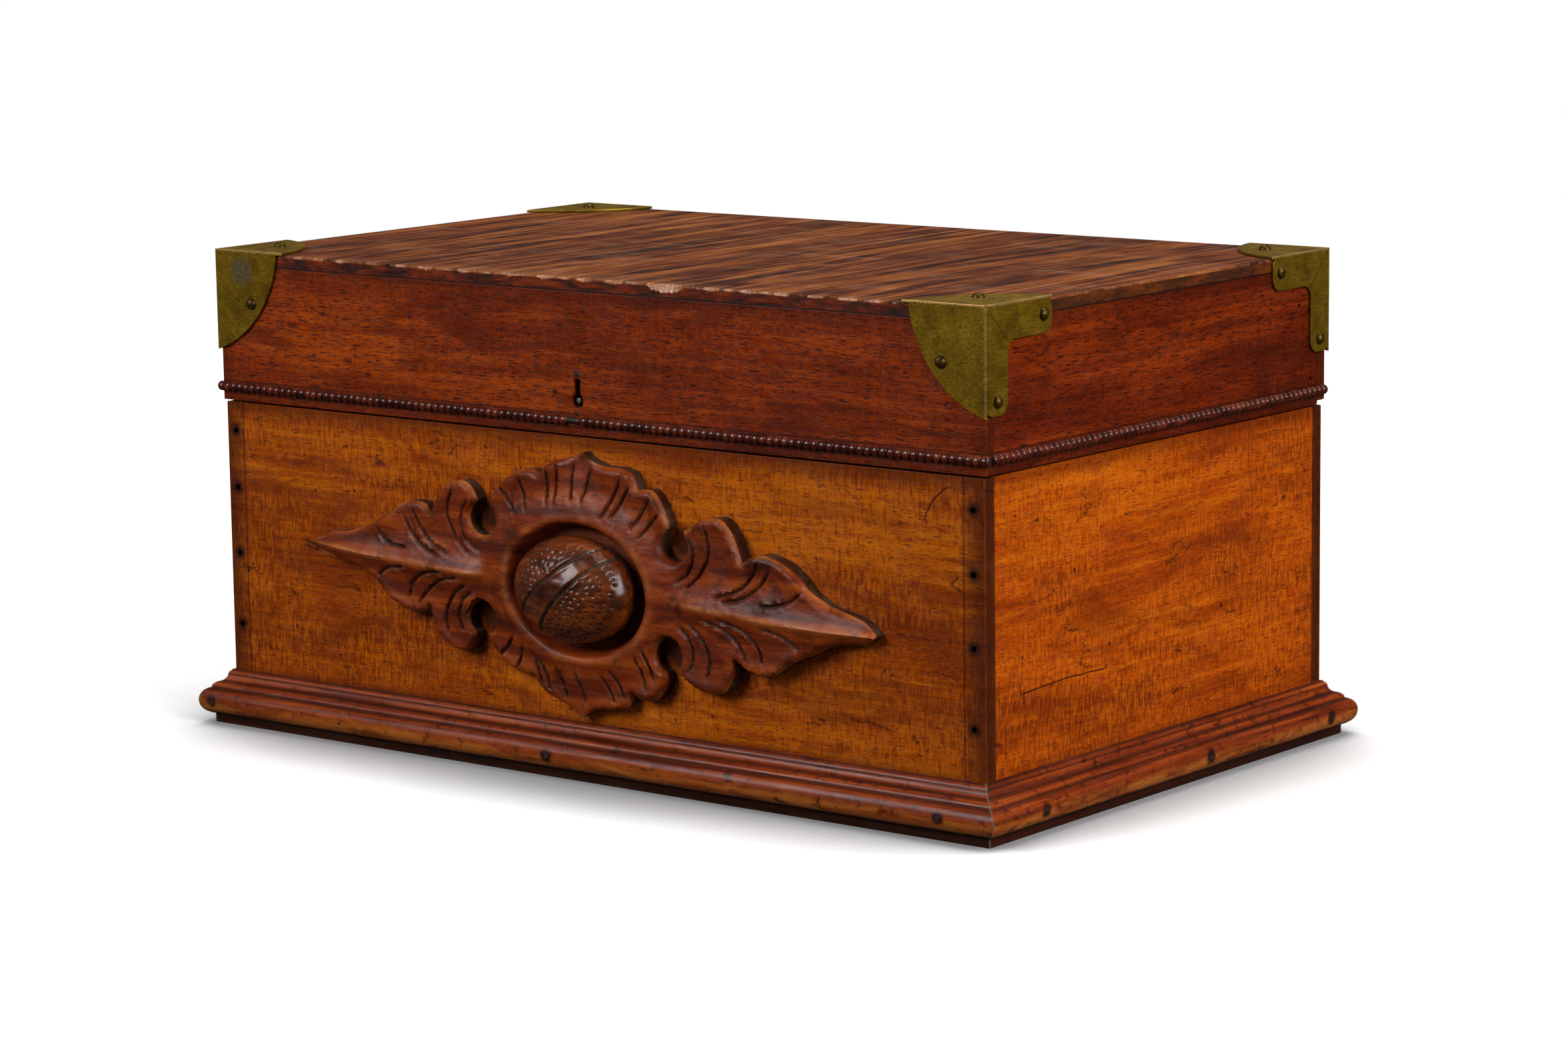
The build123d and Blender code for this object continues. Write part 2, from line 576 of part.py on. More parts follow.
WING_TIP = 151.6
HALF_OUTLINE = (  # the right half, from the wing's tip to the middle, above and then below
    [(WING_TIP, 0), (141, 5.5), (130, 7.2), (113.5, 13.4), (101, 21.7), (89, 24.6), (81, 20.4)],
    [(81, 20.4), (76, 31), (66.5, 36.8), (58, 34.5), (51, 30)],
    [(51, 30), (44.5, 36.5), (35.5, 43.8), (24, 44.6)],
    [(24, 44.6), (15.5, 50.8), (9, 52.2), (0, 57)],
    [(WING_TIP, 0), (132, -5), (117, -10.8), (104.7, -18), (92.3, -22.7), (81.6, -18.3)],
    [(81.6, -18.3), (77.5, -28.5), (67, -33.3), (57, -30.8), (51, -27)],
    [(51, -27), (45, -33.5), (35, -39.8), (25, -39.2)],
    [(25, -39.2), (18, -46.5), (11, -48.2), (0, -53)],
)
SCROLL_HOLES = [(-50.9, 24), (50.9, 24), (-49.8, -19.6), (49.8, -19.6)]
SCROLL_RADIUS = 5.5

with BuildPart() as ornament_cartouche:
    with BuildSketch(ornament_plane):
        with BuildLine():
            for run in HALF_OUTLINE:
                Spline(*run)
                Spline(*[(-x, y) for x, y in run])
        make_face()
        with Locations(*SCROLL_HOLES):
            Circle(SCROLL_RADIUS, mode=Mode.SUBTRACT)
    extrude(amount=ORNAMENT_EDGE)
    with BuildSketch(ornament_plane.offset(ORNAMENT_EDGE)):
        Ellipse(DISH_SIZE[0] / 2 + 4.0, DISH_SIZE[1] / 2 + 4.0)
    extrude(amount=DISH_RIM - ORNAMENT_EDGE)
    with BuildSketch(ornament_plane.offset(DISH_FLOOR)):
        Ellipse(DISH_SIZE[0] / 2, DISH_SIZE[1] / 2)
    extrude(amount=DISH_RIM - DISH_FLOOR, mode=Mode.SUBTRACT)
finish(ornament_cartouche, "ornament_cartouche")

with BuildPart() as unit_nut:
    Sphere(1.0)
    scale(by=BOSS_SEMI_AXES)

with BuildPart() as ornament_boss:
    with Locations(ornament_plane.offset(BOSS_CENTRE)):
        add(unit_nut.part)
    split(bisect_by=ornament_plane.offset(DISH_FLOOR), keep=Keep.TOP)
finish(ornament_boss, "ornament_boss")
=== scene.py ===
"""A hinged-lid wooden box with brass corners and a carved cartouche, finished around its CAD frame.

Metres inside Blender. Shapes are written in millimetres and scaled by MM where they are used.
The front faces -Y, +X runs to the right along it and +Z is up.
"""

import json
import math

import bmesh
import bpy
import numpy as np
from mathutils import Matrix, Vector, noise
from mathutils.geometry import delaunay_2d_cdt

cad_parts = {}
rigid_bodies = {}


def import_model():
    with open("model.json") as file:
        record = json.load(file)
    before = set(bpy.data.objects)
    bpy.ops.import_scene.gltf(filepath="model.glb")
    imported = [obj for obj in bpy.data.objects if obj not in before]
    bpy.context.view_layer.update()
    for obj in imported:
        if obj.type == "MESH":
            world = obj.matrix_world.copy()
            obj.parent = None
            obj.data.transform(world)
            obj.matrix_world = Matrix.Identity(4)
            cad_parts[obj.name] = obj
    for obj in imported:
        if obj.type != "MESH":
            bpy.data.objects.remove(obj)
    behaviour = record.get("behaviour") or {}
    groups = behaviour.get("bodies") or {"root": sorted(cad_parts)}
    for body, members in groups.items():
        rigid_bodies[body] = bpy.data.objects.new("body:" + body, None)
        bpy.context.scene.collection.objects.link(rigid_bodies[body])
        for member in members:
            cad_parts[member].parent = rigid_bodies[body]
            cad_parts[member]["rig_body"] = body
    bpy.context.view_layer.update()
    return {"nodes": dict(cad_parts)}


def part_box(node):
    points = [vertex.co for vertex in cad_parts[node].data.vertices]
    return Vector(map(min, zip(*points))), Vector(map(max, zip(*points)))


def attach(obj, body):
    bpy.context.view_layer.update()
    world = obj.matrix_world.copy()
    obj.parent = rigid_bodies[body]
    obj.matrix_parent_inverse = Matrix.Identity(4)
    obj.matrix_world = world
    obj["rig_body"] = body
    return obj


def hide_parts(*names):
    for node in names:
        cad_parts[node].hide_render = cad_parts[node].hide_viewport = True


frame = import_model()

MM = 0.001
NODES = frame["nodes"]
RNG = np.random.default_rng(1873)


def span(node):
    """A CAD node's lowest and highest corners, in millimetres."""
    low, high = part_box(node)
    return low / MM, high / MM


case_low, case_high = span("case_front")
lid_low, lid_high = span("lid_front")
panel_low, panel_high = span("lid_top_panel")
bead_low, bead_high = span("beading_front")
plate_low, plate_high = span("lid_corner_front_right")
moulding_high = span("base_moulding_right")[1]
HALF_X, HALF_Y = case_high.x, -case_low.y  # from the middle to the case's faces
OUT_X, OUT_Y, OUT_Z = plate_high.x, -plate_low.y, plate_high.z  # to the corner plates' faces
MOULDING_TOP, MOULDING_PROUD = moulding_high.z, moulding_high.x - HALF_X
TORUS_DROP = 13.4  # from the moulding's top to the middle of its torus

# ---------------------------------------------------------------- shader building


def rgb(red, green, blue):
    """A colour typed as display values from 0 to 255, as the linear colour that Blender uses."""
    linear = [((c / 255 + 0.055) / 1.055) ** 2.4 if c > 10 else c / 255 / 12.92 for c in (red, green, blue)]
    return (*linear, 1.0)


class Value:
    """A number or colour inside a shader, which plain arithmetic works on."""

    def __init__(self, shader, socket):
        self.shader, self.socket = shader, socket

    def __add__(self, other):
        return self.shader.math("ADD", self, other)

    def __mul__(self, other):
        return self.shader.math("MULTIPLY", self, other)

    def __sub__(self, other):
        return self.shader.math("SUBTRACT", self, other)

    def __rsub__(self, other):
        return self.shader.math("SUBTRACT", other, self)

    def __abs__(self):
        return self.shader.math("ABSOLUTE", self)


class Shader:
    """A Principled material whose nodes are added one line at a time. Positions are in millimetres."""

    def __init__(self, name, **constants):
        self.material = bpy.data.materials.new(name)
        self.material.use_nodes = True
        tree = self.material.node_tree
        self.nodes, self.links = tree.nodes, tree.links
        self.nodes.clear()
        self.bsdf = self.nodes.new("ShaderNodeBsdfPrincipled")
        output = self.nodes.new("ShaderNodeOutputMaterial")
        self.links.new(self.bsdf.outputs[0], output.inputs["Surface"])
        for socket, value in constants.items():
            self.bsdf.inputs[socket.replace("_", " ")].default_value = value
        coordinates = Value(self, self.nodes.new("ShaderNodeTexCoord").outputs["Object"])
        self.place = self.scaled(coordinates, (1 / MM, 1 / MM, 1 / MM))

    def add(self, kind, inputs, output=0, **settings):
        """A new node's output. Inputs are by name or number, and take values, numbers or colours."""
        node = self.nodes.new("ShaderNode" + kind)
        for name, value in settings.items():
            setattr(node, name, value)
        self.feed(node, inputs)
        return Value(self, node.outputs[output])

    def feed(self, node, inputs):
        for name, value in inputs.items():
            if isinstance(value, Value):
                self.links.new(value.socket, node.inputs[name])
            else:
                node.inputs[name].default_value = value

    def scaled(self, vector, scale, shift=(0, 0, 0)):
        return self.add("Mapping", {"Vector": vector, "Scale": scale, "Location": shift})

    def noise(self, scale, detail=3.0, rough=0.55, warp=0.0, shift=(0, 0, 0)):
        """Noise with a wavelength of 1/scale millimetres along each axis."""
        vector = self.scaled(self.place, scale, shift)
        return self.add("TexNoise", {"Vector": vector, "Scale": 1.0, "Detail": detail, "Roughness": rough,
                                     "Distortion": warp}, "Fac")

    def cells(self, scale, shift=(0, 0, 0)):
        """Distance from the nearest of scattered points, in units of the cell size."""
        return self.add("TexVoronoi", {"Vector": self.scaled(self.place, scale, shift), "Scale": 1.0},
                        "Distance")

    def math(self, operation, a, b=0.0):
        return self.add("Math", {0: a, 1: b}, operation=operation)

    def remap(self, value, low, high, to_low=0.0, to_high=1.0):
        """Value's smooth rise from to_low, where it is low, to to_high, where it is high."""
        return self.add("MapRange", {"Value": value, "From Min": low, "From Max": high, "To Min": to_low,
                                     "To Max": to_high}, interpolation_type="SMOOTHSTEP")

    def mix(self, share, a, b):
        """The colour a, with a share of b over it."""
        return self.add("Mix", {"Factor": share, 6: a, 7: b}, 2, data_type="RGBA")

    def ramp(self, value, stops):
        node = self.nodes.new("ShaderNodeValToRGB")
        elements = node.color_ramp.elements
        while len(elements) < len(stops):
            elements.new(0.5)
        for element, (position, colour) in zip(elements, stops):
            element.position, element.color = position, colour
        self.feed(node, {0: value})
        return Value(self, node.outputs[0])

    def axis(self, name):
        """The place along the row frame's X, Y or Z axis."""
        return self.add("SeparateXYZ", {0: self.place}, name)

    def axes(self):
        return [self.axis(name) for name in "XYZ"]

    def attribute(self, name):
        return self.add("Attribute", {}, "Fac", attribute_name=name)

    def distance_to(self, *point):
        return self.add("VectorMath", {0: self.place, 1: point}, "Value", operation="DISTANCE")

    def arris_distance(self, low, high):
        """How far a point on a box is from the box's nearest edge, in millimetres."""
        gaps = [abs((b - a) / 2 - abs(value - (a + b) / 2)) for value, a, b in zip(self.axes(), low, high)]
        x, y, z = gaps
        middle = self.math("MINIMUM", self.math("MAXIMUM", x, y), z)
        return self.math("MAXIMUM", self.math("MINIMUM", x, y), middle)

    def bump(self, height, distance, normal=None):
        inputs = {"Strength": 1.0, "Distance": distance * MM, "Height": height}
        if normal is not None:
            inputs["Normal"] = normal
        return self.add("Bump", inputs)

    def finish(self, colour, roughness, normal):
        self.feed(self.bsdf, {"Base Color": colour, "Roughness": roughness, "Normal": normal})
        return self.material


def along(axis, lengthwise, across):
    """A noise scale that is lengthwise along the grain's axis and across on the others."""
    return tuple(lengthwise if i == "XYZ".index(axis) else across for i in range(3))


# ---------------------------------------------------------------- wood materials

BARE_WOOD = rgb(196, 138, 98)


def wood(name, grain, tones, figure=0.0, box=None, edge_dark=0.45, stains=(), specks=0.8, pores=0.8,
         pore_range=(0.56, 0.66), shade=(), lines=(), cracks=()):
    """Old polished wood with its grain along an axis, and three tones from dark to light.

    Figure is the strength of the short upright curl flecks, and the wood darkens near the arrises of
    box. Shade darkens what lies far out on an axis, lines are seams, and cracks are arcs.
    """
    dark, middle, light = tones
    s = Shader(name, Coat_Weight=0.03, Coat_Roughness=0.2, Specular_IOR_Level=0.16)
    broad = s.noise(along(grain, 0.006, 0.028), 3, 0.55, 0.6)
    streak = s.noise(along(grain, 0.012, 0.33), 4, 0.6, 0.25)
    tone = broad * 0.55 + streak * 0.45
    colour = s.ramp(tone, [(0.35, dark), (0.50, middle), (0.63, light)])
    ripple = s.noise(along(grain, 0.42, 1.1), 3, 0.65, 0.8, (8, 8, 2))
    colour = s.mix(s.remap(ripple, 0.50, 0.34, 0.0, 0.56), colour, dark)
    colour = s.mix(s.remap(ripple, 0.54, 0.70, 0.0, 0.46), colour, light)
    if figure:
        curl = s.noise(along("Z", 0.15, 0.72), 3, 0.6, 0.3, (3, 7, 1))
        patch = s.remap(s.noise((0.018, 0.018, 0.03), 3, 0.55, 0, (9, 2, 4)), 0.34, 0.52)
        flecks = s.remap(curl, 0.4, 0.66) * patch
        colour = s.mix(flecks * figure, colour, light)
        hollows = s.remap(curl, 0.46, 0.3) * patch
        colour = s.mix(hollows * figure, colour, dark)
    pore = s.noise(along(grain, 0.16, 1.9), 3, 0.6, 0.1, (1, 5, 8))
    pore_mask = s.remap(pore, *pore_range)
    colour = s.mix(pore_mask * pores, colour, s.mix(0.35, dark, (0, 0, 0, 1)))
    speck = s.remap(s.cells((0.10, 0.10, 0.10), (5, 1, 2)), 0.10, 0.05)
    sparse = s.remap(s.noise((0.05, 0.05, 0.05), 2, 0.5, 0, (2, 2, 9)), 0.46, 0.6)
    colour = s.mix(speck * sparse * specks, colour, rgb(38, 12, 6))
    grime = s.noise(along(grain, 0.016, 0.06), 5, 0.7, 0.8, (7, 3, 3))
    colour = s.mix(s.remap(grime, 0.46, 0.66, 0.0, 0.62), colour, dark)
    blots = s.noise(along(grain, 0.05, 0.13), 5, 0.78, 1.0, (4, 9, 9))
    colour = s.mix(s.remap(blots, 0.595, 0.67, 0.0, specks), colour, rgb(48, 15, 5))
    if box:
        reach = s.arris_distance(*box) + (grime - 0.5) * 9.0
        colour = s.mix(s.remap(reach, 9.0, 0.0, 0.0, edge_dark), colour, s.mix(0.4, dark, (0, 0, 0, 1)))
    for axis, low, high, amount in shade:
        part = s.remap(abs(s.axis(axis)), low, high, 0.0, amount)
        colour = s.mix(part, colour, rgb(44, 14, 4))
    for axis, place, width in lines:
        gap = abs(abs(s.axis(axis)) - place)
        colour = s.mix(s.remap(gap, width, width * 0.2, 0.0, 0.62), colour, rgb(30, 10, 5))
    for centre, radius, axis, low, high in cracks:  # each runs between two places on its axis
        from_arc = s.distance_to(*centre) + (grime - 0.5) * 2.4 - radius
        place = s.axis(axis)
        within = s.remap(place, low, low + 2.0) * s.remap(place, high, high - 2.0)
        crack = s.remap(abs(from_arc), 0.55, 0.15) * within
        colour = s.mix(crack * 0.85, colour, rgb(26, 9, 5))
    # dark halos: real stains, and on the case front also painted shade at the floors of the carving's holes
    for point, radius in stains:
        halo = s.remap(s.distance_to(*point), radius, radius * 0.25, 0.0, 0.9)
        colour = s.mix(halo, colour, rgb(30, 10, 6))
    rough = s.remap(s.noise((0.06, 0.06, 0.06), 4, 0.6, 0, (4, 4, 4)), 0.3, 0.7, 0.30, 0.46)
    waviness = s.bump(s.noise(along(grain, 0.03, 0.16), 2, 0.5), 0.22)
    surface = s.bump(1.0 - pore_mask, 0.05, waviness)
    return s.finish(colour, rough, surface)


def figured_top():
    """The lid's top veneer: dark and brown bands from front to back, dull and dusty."""
    s = Shader("top_veneer", Coat_Weight=0.04, Coat_Roughness=0.3, Specular_IOR_Level=0.2)
    bands = s.noise((0.10, 0.007, 0.03), 4, 0.62, 1.6)
    fine = s.noise((0.55, 0.03, 0.3), 3, 0.6, 0.5, (2, 6, 0))
    value = bands * 0.78 + fine * 0.22
    colour = s.ramp(value, [(0.38, rgb(34, 12, 5)), (0.46, rgb(80, 32, 9)), (0.54, rgb(122, 60, 20)),
                            (0.64, rgb(158, 94, 42))])
    pore = s.remap(s.noise((2.4, 0.1, 1.0), 2, 0.5, 0, (3, 3, 3)), 0.60, 0.70)
    colour = s.mix(pore * 0.6, colour, rgb(34, 14, 9))
    dust = s.remap(s.noise((0.03, 0.05, 0.05), 5, 0.7, 0.3, (8, 1, 1)), 0.42, 0.72)
    colour = s.mix(dust * 0.2, colour, rgb(140, 100, 74))
    colour = s.mix(s.attribute("chip"), colour, bare_wood_colour(s))
    scratch = s.remap(abs(s.axis("Y") + s.axis("X") * 0.02), 0.45, 0.1)
    broken = s.remap(s.noise((0.03, 0.03, 0.03), 3, 0.6, 0, (6, 6, 1)), 0.44, 0.56)
    colour = s.mix(scratch * broken * 0.7, colour, rgb(190, 160, 136))
    rough = s.remap(dust, 0.0, 1.0, 0.34, 0.6)
    surface = s.bump(s.noise((0.2, 0.03, 0.1), 3, 0.5), 0.16)
    return s.finish(colour, rough, surface)


def bare_wood_colour(s):
    """Pale broken fibres, with darker ones between them."""
    fibres = s.noise((0.25, 1.6, 1.6), 3, 0.7, 0, (1, 9, 9))
    return s.mix(s.remap(fibres, 0.36, 0.62), rgb(118, 60, 30), BARE_WOOD)


def panel_edge():
    """The lid's top panel: a reddish edge with dark patches and pale chips, and a plain underside."""
    s = Shader("lid_panel_edge", Coat_Weight=0.1, Coat_Roughness=0.25, Specular_IOR_Level=0.3)
    patches = s.noise((0.075, 0.075, 0.25), 4, 0.65, 0.4)
    colour = s.ramp(patches, [(0.36, rgb(34, 11, 6)), (0.48, rgb(82, 26, 8)), (0.64, rgb(132, 50, 16))])
    x, y, z = s.axes()
    side = s.remap(abs(x), panel_high.x - 0.6, panel_high.x - 0.2, 0.0, 0.6)
    colour = s.mix(side, colour, s.mix(patches, rgb(18, 12, 6), rgb(84, 50, 14)))
    pore = s.remap(s.noise((0.09, 0.09, 2.6), 2, 0.5, 0, (3, 1, 3)), 0.58, 0.68)
    colour = s.mix(pore * 0.7, colour, rgb(30, 10, 7))
    outside = s.math("MAXIMUM", abs(x) - (panel_high.x - 0.6), abs(y) - (panel_high.y - 0.6))
    underside = s.ramp(s.noise((0.012, 0.2, 0.2), 4, 0.6, 0.3),
                       [(0.34, rgb(74, 26, 10)), (0.66, rgb(122, 50, 20))])
    colour = s.mix(s.remap(outside, -4.0, -5.0), colour, underside)
    # dark line at the panel's foot: the joint with the lid's walls, and painted shade of the gap there
    joint_and_gap_shade = s.remap(z, panel_low.z + 0.9, panel_low.z + 0.1, 0.0, 0.95) * s.remap(outside, -0.1, 0.0)
    colour = s.mix(joint_and_gap_shade, colour, rgb(24, 9, 6))
    colour = s.mix(s.attribute("chip"), colour, bare_wood_colour(s))
    rough = s.remap(patches, 0.3, 0.7, 0.42, 0.3)
    return s.finish(colour, rough, s.bump(patches, 0.25))


def moulding_wood(name, axis, stains):
    """Planted moulding: reddish, worn yellow-brown on the torus, darker along its grooves, and with painted
    shade on the fascia under the torus.
    """
    s = Shader(name, Coat_Weight=0.1, Coat_Roughness=0.2, Specular_IOR_Level=0.22)
    streak = s.noise(along(axis, 0.012, 0.36), 4, 0.6, 0.3)
    colour = s.ramp(streak, [(0.32, rgb(78, 22, 6)), (0.5, rgb(124, 46, 10)), (0.68, rgb(156, 68, 18))])
    pore = s.remap(s.noise(along(axis, 0.09, 2.4), 2, 0.5, 0, (4, 1, 8)), 0.60, 0.70)
    colour = s.mix(pore * 0.7, colour, rgb(38, 12, 6))
    x, y, z = s.axes()
    blotch = s.noise((0.05, 0.05, 0.12), 4, 0.65, 0.5, (2, 2, 2))
    level = z + (blotch - 0.5) * 8.0
    on_torus = s.remap(level, 3.6, 5.4) * s.remap(level, 12.0, 8.4)
    worn = s.remap(s.noise(along(axis, 0.03, 0.16), 5, 0.7, 0.6, (9, 1, 3)), 0.40, 0.60, 0.15, 0.85)
    colour = s.mix(on_torus * worn, colour, rgb(176, 100, 38))
    # darker lines along the grooves where the profile's members meet
    for down, width in ((8.1, 1.1), (5.2, 0.9), (19.2, 0.9), (0.4, 0.7), (2.3, 0.6)):
        groove = s.remap(abs(z - (MOULDING_TOP - down)), width, 0.1)
        colour = s.mix(groove * 0.7, colour, rgb(30, 13, 8))
    # painted shade: the fascia under the torus is darkened below 5.6 mm, and fully below 3.6 mm
    colour = s.mix(s.remap(z, 5.6, 3.6, 0.0, 0.9), colour, rgb(22, 9, 5))
    spots = s.remap(s.noise((0.16, 0.16, 0.2), 5, 0.75, 0.6, (6, 6, 6)), 0.54, 0.66, 0.0, 0.8)
    colour = s.mix(spots, colour, rgb(36, 12, 6))
    off_mitre = abs(abs(x) - HALF_X - (abs(y) - HALF_Y))
    seam = s.remap(off_mitre, 0.9, 0.2)
    colour = s.mix(seam * 0.8, colour, rgb(96, 84, 70))
    for point, radius in stains:
        halo = s.remap(s.distance_to(*point) + (blotch - 0.5) * 4.0, radius, radius * 0.4, 0.0, 0.94)
        colour = s.mix(halo, colour, rgb(20, 8, 6))
    rough = s.remap(blotch, 0.3, 0.7, 0.26, 0.46)
    surface = s.bump(s.noise(along(axis, 0.05, 0.25), 3, 0.55), 0.2)
    return s.finish(colour, rough, surface)


def beading_wood():
    """Small dark glossy reels with grime between them."""
    s = Shader("beading_wood", Coat_Weight=0.2, Coat_Roughness=0.16, Specular_IOR_Level=0.3)
    tone = s.noise((0.11, 0.11, 0.3), 4, 0.6)
    colour = s.ramp(tone, [(0.34, rgb(40, 12, 7)), (0.52, rgb(80, 26, 12)), (0.7, rgb(120, 52, 30))])
    colour = s.mix(s.attribute("groove") * 0.9, colour, rgb(30, 24, 16))
    rough = s.remap(s.attribute("groove"), 0.0, 1.0, 0.22, 0.6)
    return s.finish(colour, rough, s.bump(tone, 0.1))


def carved_wood(name, tones, coat, gloss):
    """Carved mahogany: glossy dark red-brown, bare on worn crests, with a painted highlight along the
    leaves' edges, painted shade and grey dust in its cuts, and painted shade on its walls.
    """
    s = Shader(name, Coat_Weight=coat, Coat_Roughness=0.2, Specular_IOR_Level=0.24)
    tone = s.noise((0.018, 0.14, 0.14), 4, 0.6, 0.5)
    colour = s.ramp(tone, [(0.32, tones[0]), (0.5, tones[1]), (0.7, tones[2])])
    pore = s.remap(s.noise((0.1, 1.6, 1.6), 2, 0.5, 0, (3, 3, 5)), 0.60, 0.70)
    colour = s.mix(pore * 0.65, colour, rgb(40, 12, 5))
    blotch = s.noise((0.07, 0.07, 0.07), 4, 0.65, 0.3, (5, 5, 5))
    # crest: worn bare wood on ridges and rim, and along the leaves' edges also a painted highlight
    worn = s.attribute("crest") * s.remap(blotch, 0.32, 0.6, 0.35, 1.0)
    colour = s.mix(worn * 0.8, colour, rgb(206, 126, 62))
    # the cuts, the dish and the boss's cuts and dimples darken: painted shade, with grey dust in patches
    cut = s.attribute("cut")
    deep = s.mix(s.remap(blotch, 0.42, 0.72, 0.0, 0.6), rgb(26, 10, 5), rgb(96, 88, 66))
    colour = s.mix(cut * 0.85, colour, deep)
    # painted shade: the carving's walls darken towards the board, and the boss darkens on its underside
    colour = s.mix(s.remap(s.attribute("wall"), 0.0, 0.7, 0.0, 0.9), colour, deep)
    rough = s.remap(blotch, 0.3, 0.7, *gloss) + cut * 0.3
    dark_clouds = s.remap(s.noise((0.09, 0.09, 0.09), 4, 0.7, 0.5, (1, 7, 7)), 0.52, 0.68, 0.0, 0.6)
    colour = s.mix(dark_clouds, colour, rgb(44, 13, 5))
    fibres = s.bump(s.noise((0.3, 1.3, 1.3), 3, 0.6), 0.08)
    surface = s.bump(s.noise((0.12, 0.3, 0.3), 3, 0.55), 0.22, fibres)
    return s.finish(colour, rough, surface)


# ---------------------------------------------------------------- metal materials


def brass(name, box=None, stains=(), bright=0.35, dirt=0.6):
    """Patinated brass, paler where the arrises of box are rubbed, with a painted highlight that is strongest
    along the top arrises, and dark in its plates' mitre.
    """
    s = Shader(name, Metallic=0.75, Specular_IOR_Level=0.4)
    clouds = s.noise((0.09, 0.09, 0.09), 5, 0.65, 0.6)
    colour = s.ramp(clouds, [(0.30, rgb(104, 78, 10)), (0.5, rgb(136, 104, 14)), (0.70, rgb(160, 126, 26))])
    spots = s.remap(s.noise((0.5, 0.5, 0.5), 5, 0.7, 0, (2, 8, 5)), 0.56, 0.72)
    colour = s.mix(spots * dirt, colour, rgb(58, 42, 10))
    if box:
        high = box[1]
        reach = s.arris_distance(*box) + (spots - 0.3) * 0.7
        x, y, z = s.axes()
        # painted highlight: the rubbed arrises are paler, most of all along the top edges
        top_arris_highlight = s.remap(z, high[2] - 2.0, high[2] - 0.6, 0.35 * bright, bright)
        colour = s.mix(s.remap(reach, 0.9, 0.2) * top_arris_highlight, colour, rgb(226, 178, 118))
        down, back_from_arris = (high[2] - z, high[1] - abs(y))
        off_mitre = abs(down - back_from_arris)
        on_side = s.remap(abs(x), high[0] - 0.5, high[0] - 0.2) * s.remap(down, 16.0, 14.5)
        crease = s.remap(off_mitre, 0.7, 0.1) * on_side
        colour = s.mix(crease * 0.6, colour, rgb(52, 38, 8))
    for point, radius, tint in stains:
        patchy = s.remap(s.distance_to(*point), radius, radius * 0.3) * s.remap(clouds, 0.38, 0.6)
        colour = s.mix(patchy * 0.8, colour, tint)
    grime = s.attribute("grime")
    colour = s.mix(grime, colour, rgb(30, 20, 10))
    scratches = s.noise((0.9, 0.12, 1.4), 3, 0.6, 0.2, (6, 1, 1))
    rough = s.remap(scratches, 0.3, 0.7, 0.3, 0.5)
    surface = s.bump(clouds, 0.12, s.bump(scratches, 0.02))
    return s.finish(colour, rough, surface)


def iron(name):
    """Dark oxidised iron."""
    s = Shader(name, Metallic=0.5)
    rust = s.noise((0.9, 0.9, 0.9), 4, 0.7)
    colour = s.ramp(rust, [(0.35, rgb(26, 20, 18)), (0.55, rgb(54, 38, 30)), (0.75, rgb(96, 58, 38))])
    return s.finish(colour, s.remap(rust, 0.3, 0.7, 0.5, 0.8), s.bump(rust, 0.15))


def steel(name):
    """Dull grey steel with fine drawn lines."""
    s = Shader(name, Metallic=0.95)
    lines = s.noise((0.1, 3.0, 3.0), 3, 0.6)
    tarnish = s.noise((0.2, 0.2, 0.2), 4, 0.6, 0, (3, 3, 3))
    colour = s.mix(s.remap(tarnish, 0.4, 0.7), rgb(168, 166, 162), rgb(98, 90, 80))
    return s.finish(colour, s.remap(lines, 0.3, 0.7, 0.3, 0.5), s.bump(lines, 0.02))


# ---------------------------------------------------------------- mesh helpers


def mesh_object(name, vertices, faces, material, body, replaces=(), attributes=None, sharp=35.0):
    """A smooth-shaded piece from points in millimetres, riding on a body."""
    mesh = bpy.data.meshes.new(name)
    mesh.from_pydata([Vector(v) * MM for v in vertices], [], faces)
    for key, values in (attributes or {}).items():
        mesh.attributes.new(key, "FLOAT", "POINT").data.foreach_set("value", np.asarray(values, np.float32))
    tidy_normals(mesh, sharp)
    return placed(mesh, name, material, body, replaces)


def placed(mesh, name, material, body, replaces):
    mesh.materials.clear()
    mesh.materials.append(material)
    piece = bpy.data.objects.new(name, mesh)
    bpy.context.scene.collection.objects.link(piece)
    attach(piece, body)
    if replaces:
        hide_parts(*replaces)
    return piece


def tidy_normals(mesh, sharp):
    """Consistent outward faces, shaded smooth except across edges sharper than the angle."""
    work = bmesh.new()
    work.from_mesh(mesh)
    bmesh.ops.remove_doubles(work, verts=work.verts, dist=1e-7)
    bmesh.ops.recalc_face_normals(work, faces=work.faces)
    limit = math.radians(sharp)
    for face in work.faces:
        face.smooth = True
    for edge in work.edges:
        edge.smooth = len(edge.link_faces) == 2 and edge.calc_face_angle() < limit
    work.to_mesh(mesh)
    work.free()


def softened(node, width, material, segments=2, sharp=40.0):
    """The CAD node's own shape with its arrises rounded by width millimetres."""
    body = NODES[node]["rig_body"]
    mesh = NODES[node].data.copy()
    work = bmesh.new()
    work.from_mesh(mesh)
    bmesh.ops.remove_doubles(work, verts=work.verts, dist=1e-6)
    bmesh.ops.dissolve_limit(work, angle_limit=math.radians(0.5), verts=work.verts, edges=work.edges)
    corners = [e for e in work.edges if len(e.link_faces) == 2 and e.calc_face_angle() > math.radians(sharp)]
    bmesh.ops.bevel(work, geom=corners, offset=width * MM, offset_type="OFFSET", segments=segments,
                    profile=0.5, affect="EDGES", clamp_overlap=True)
    bmesh.ops.triangulate(work, faces=[f for f in work.faces if len(f.verts) > 4])
    work.to_mesh(mesh)
    work.free()
    tidy_normals(mesh, sharp)
    piece = placed(mesh, node + "_worn", material, body, (node,))
    modifier = piece.modifiers.new("even_light", "WEIGHTED_NORMAL")
    modifier.keep_sharp = True
    return piece


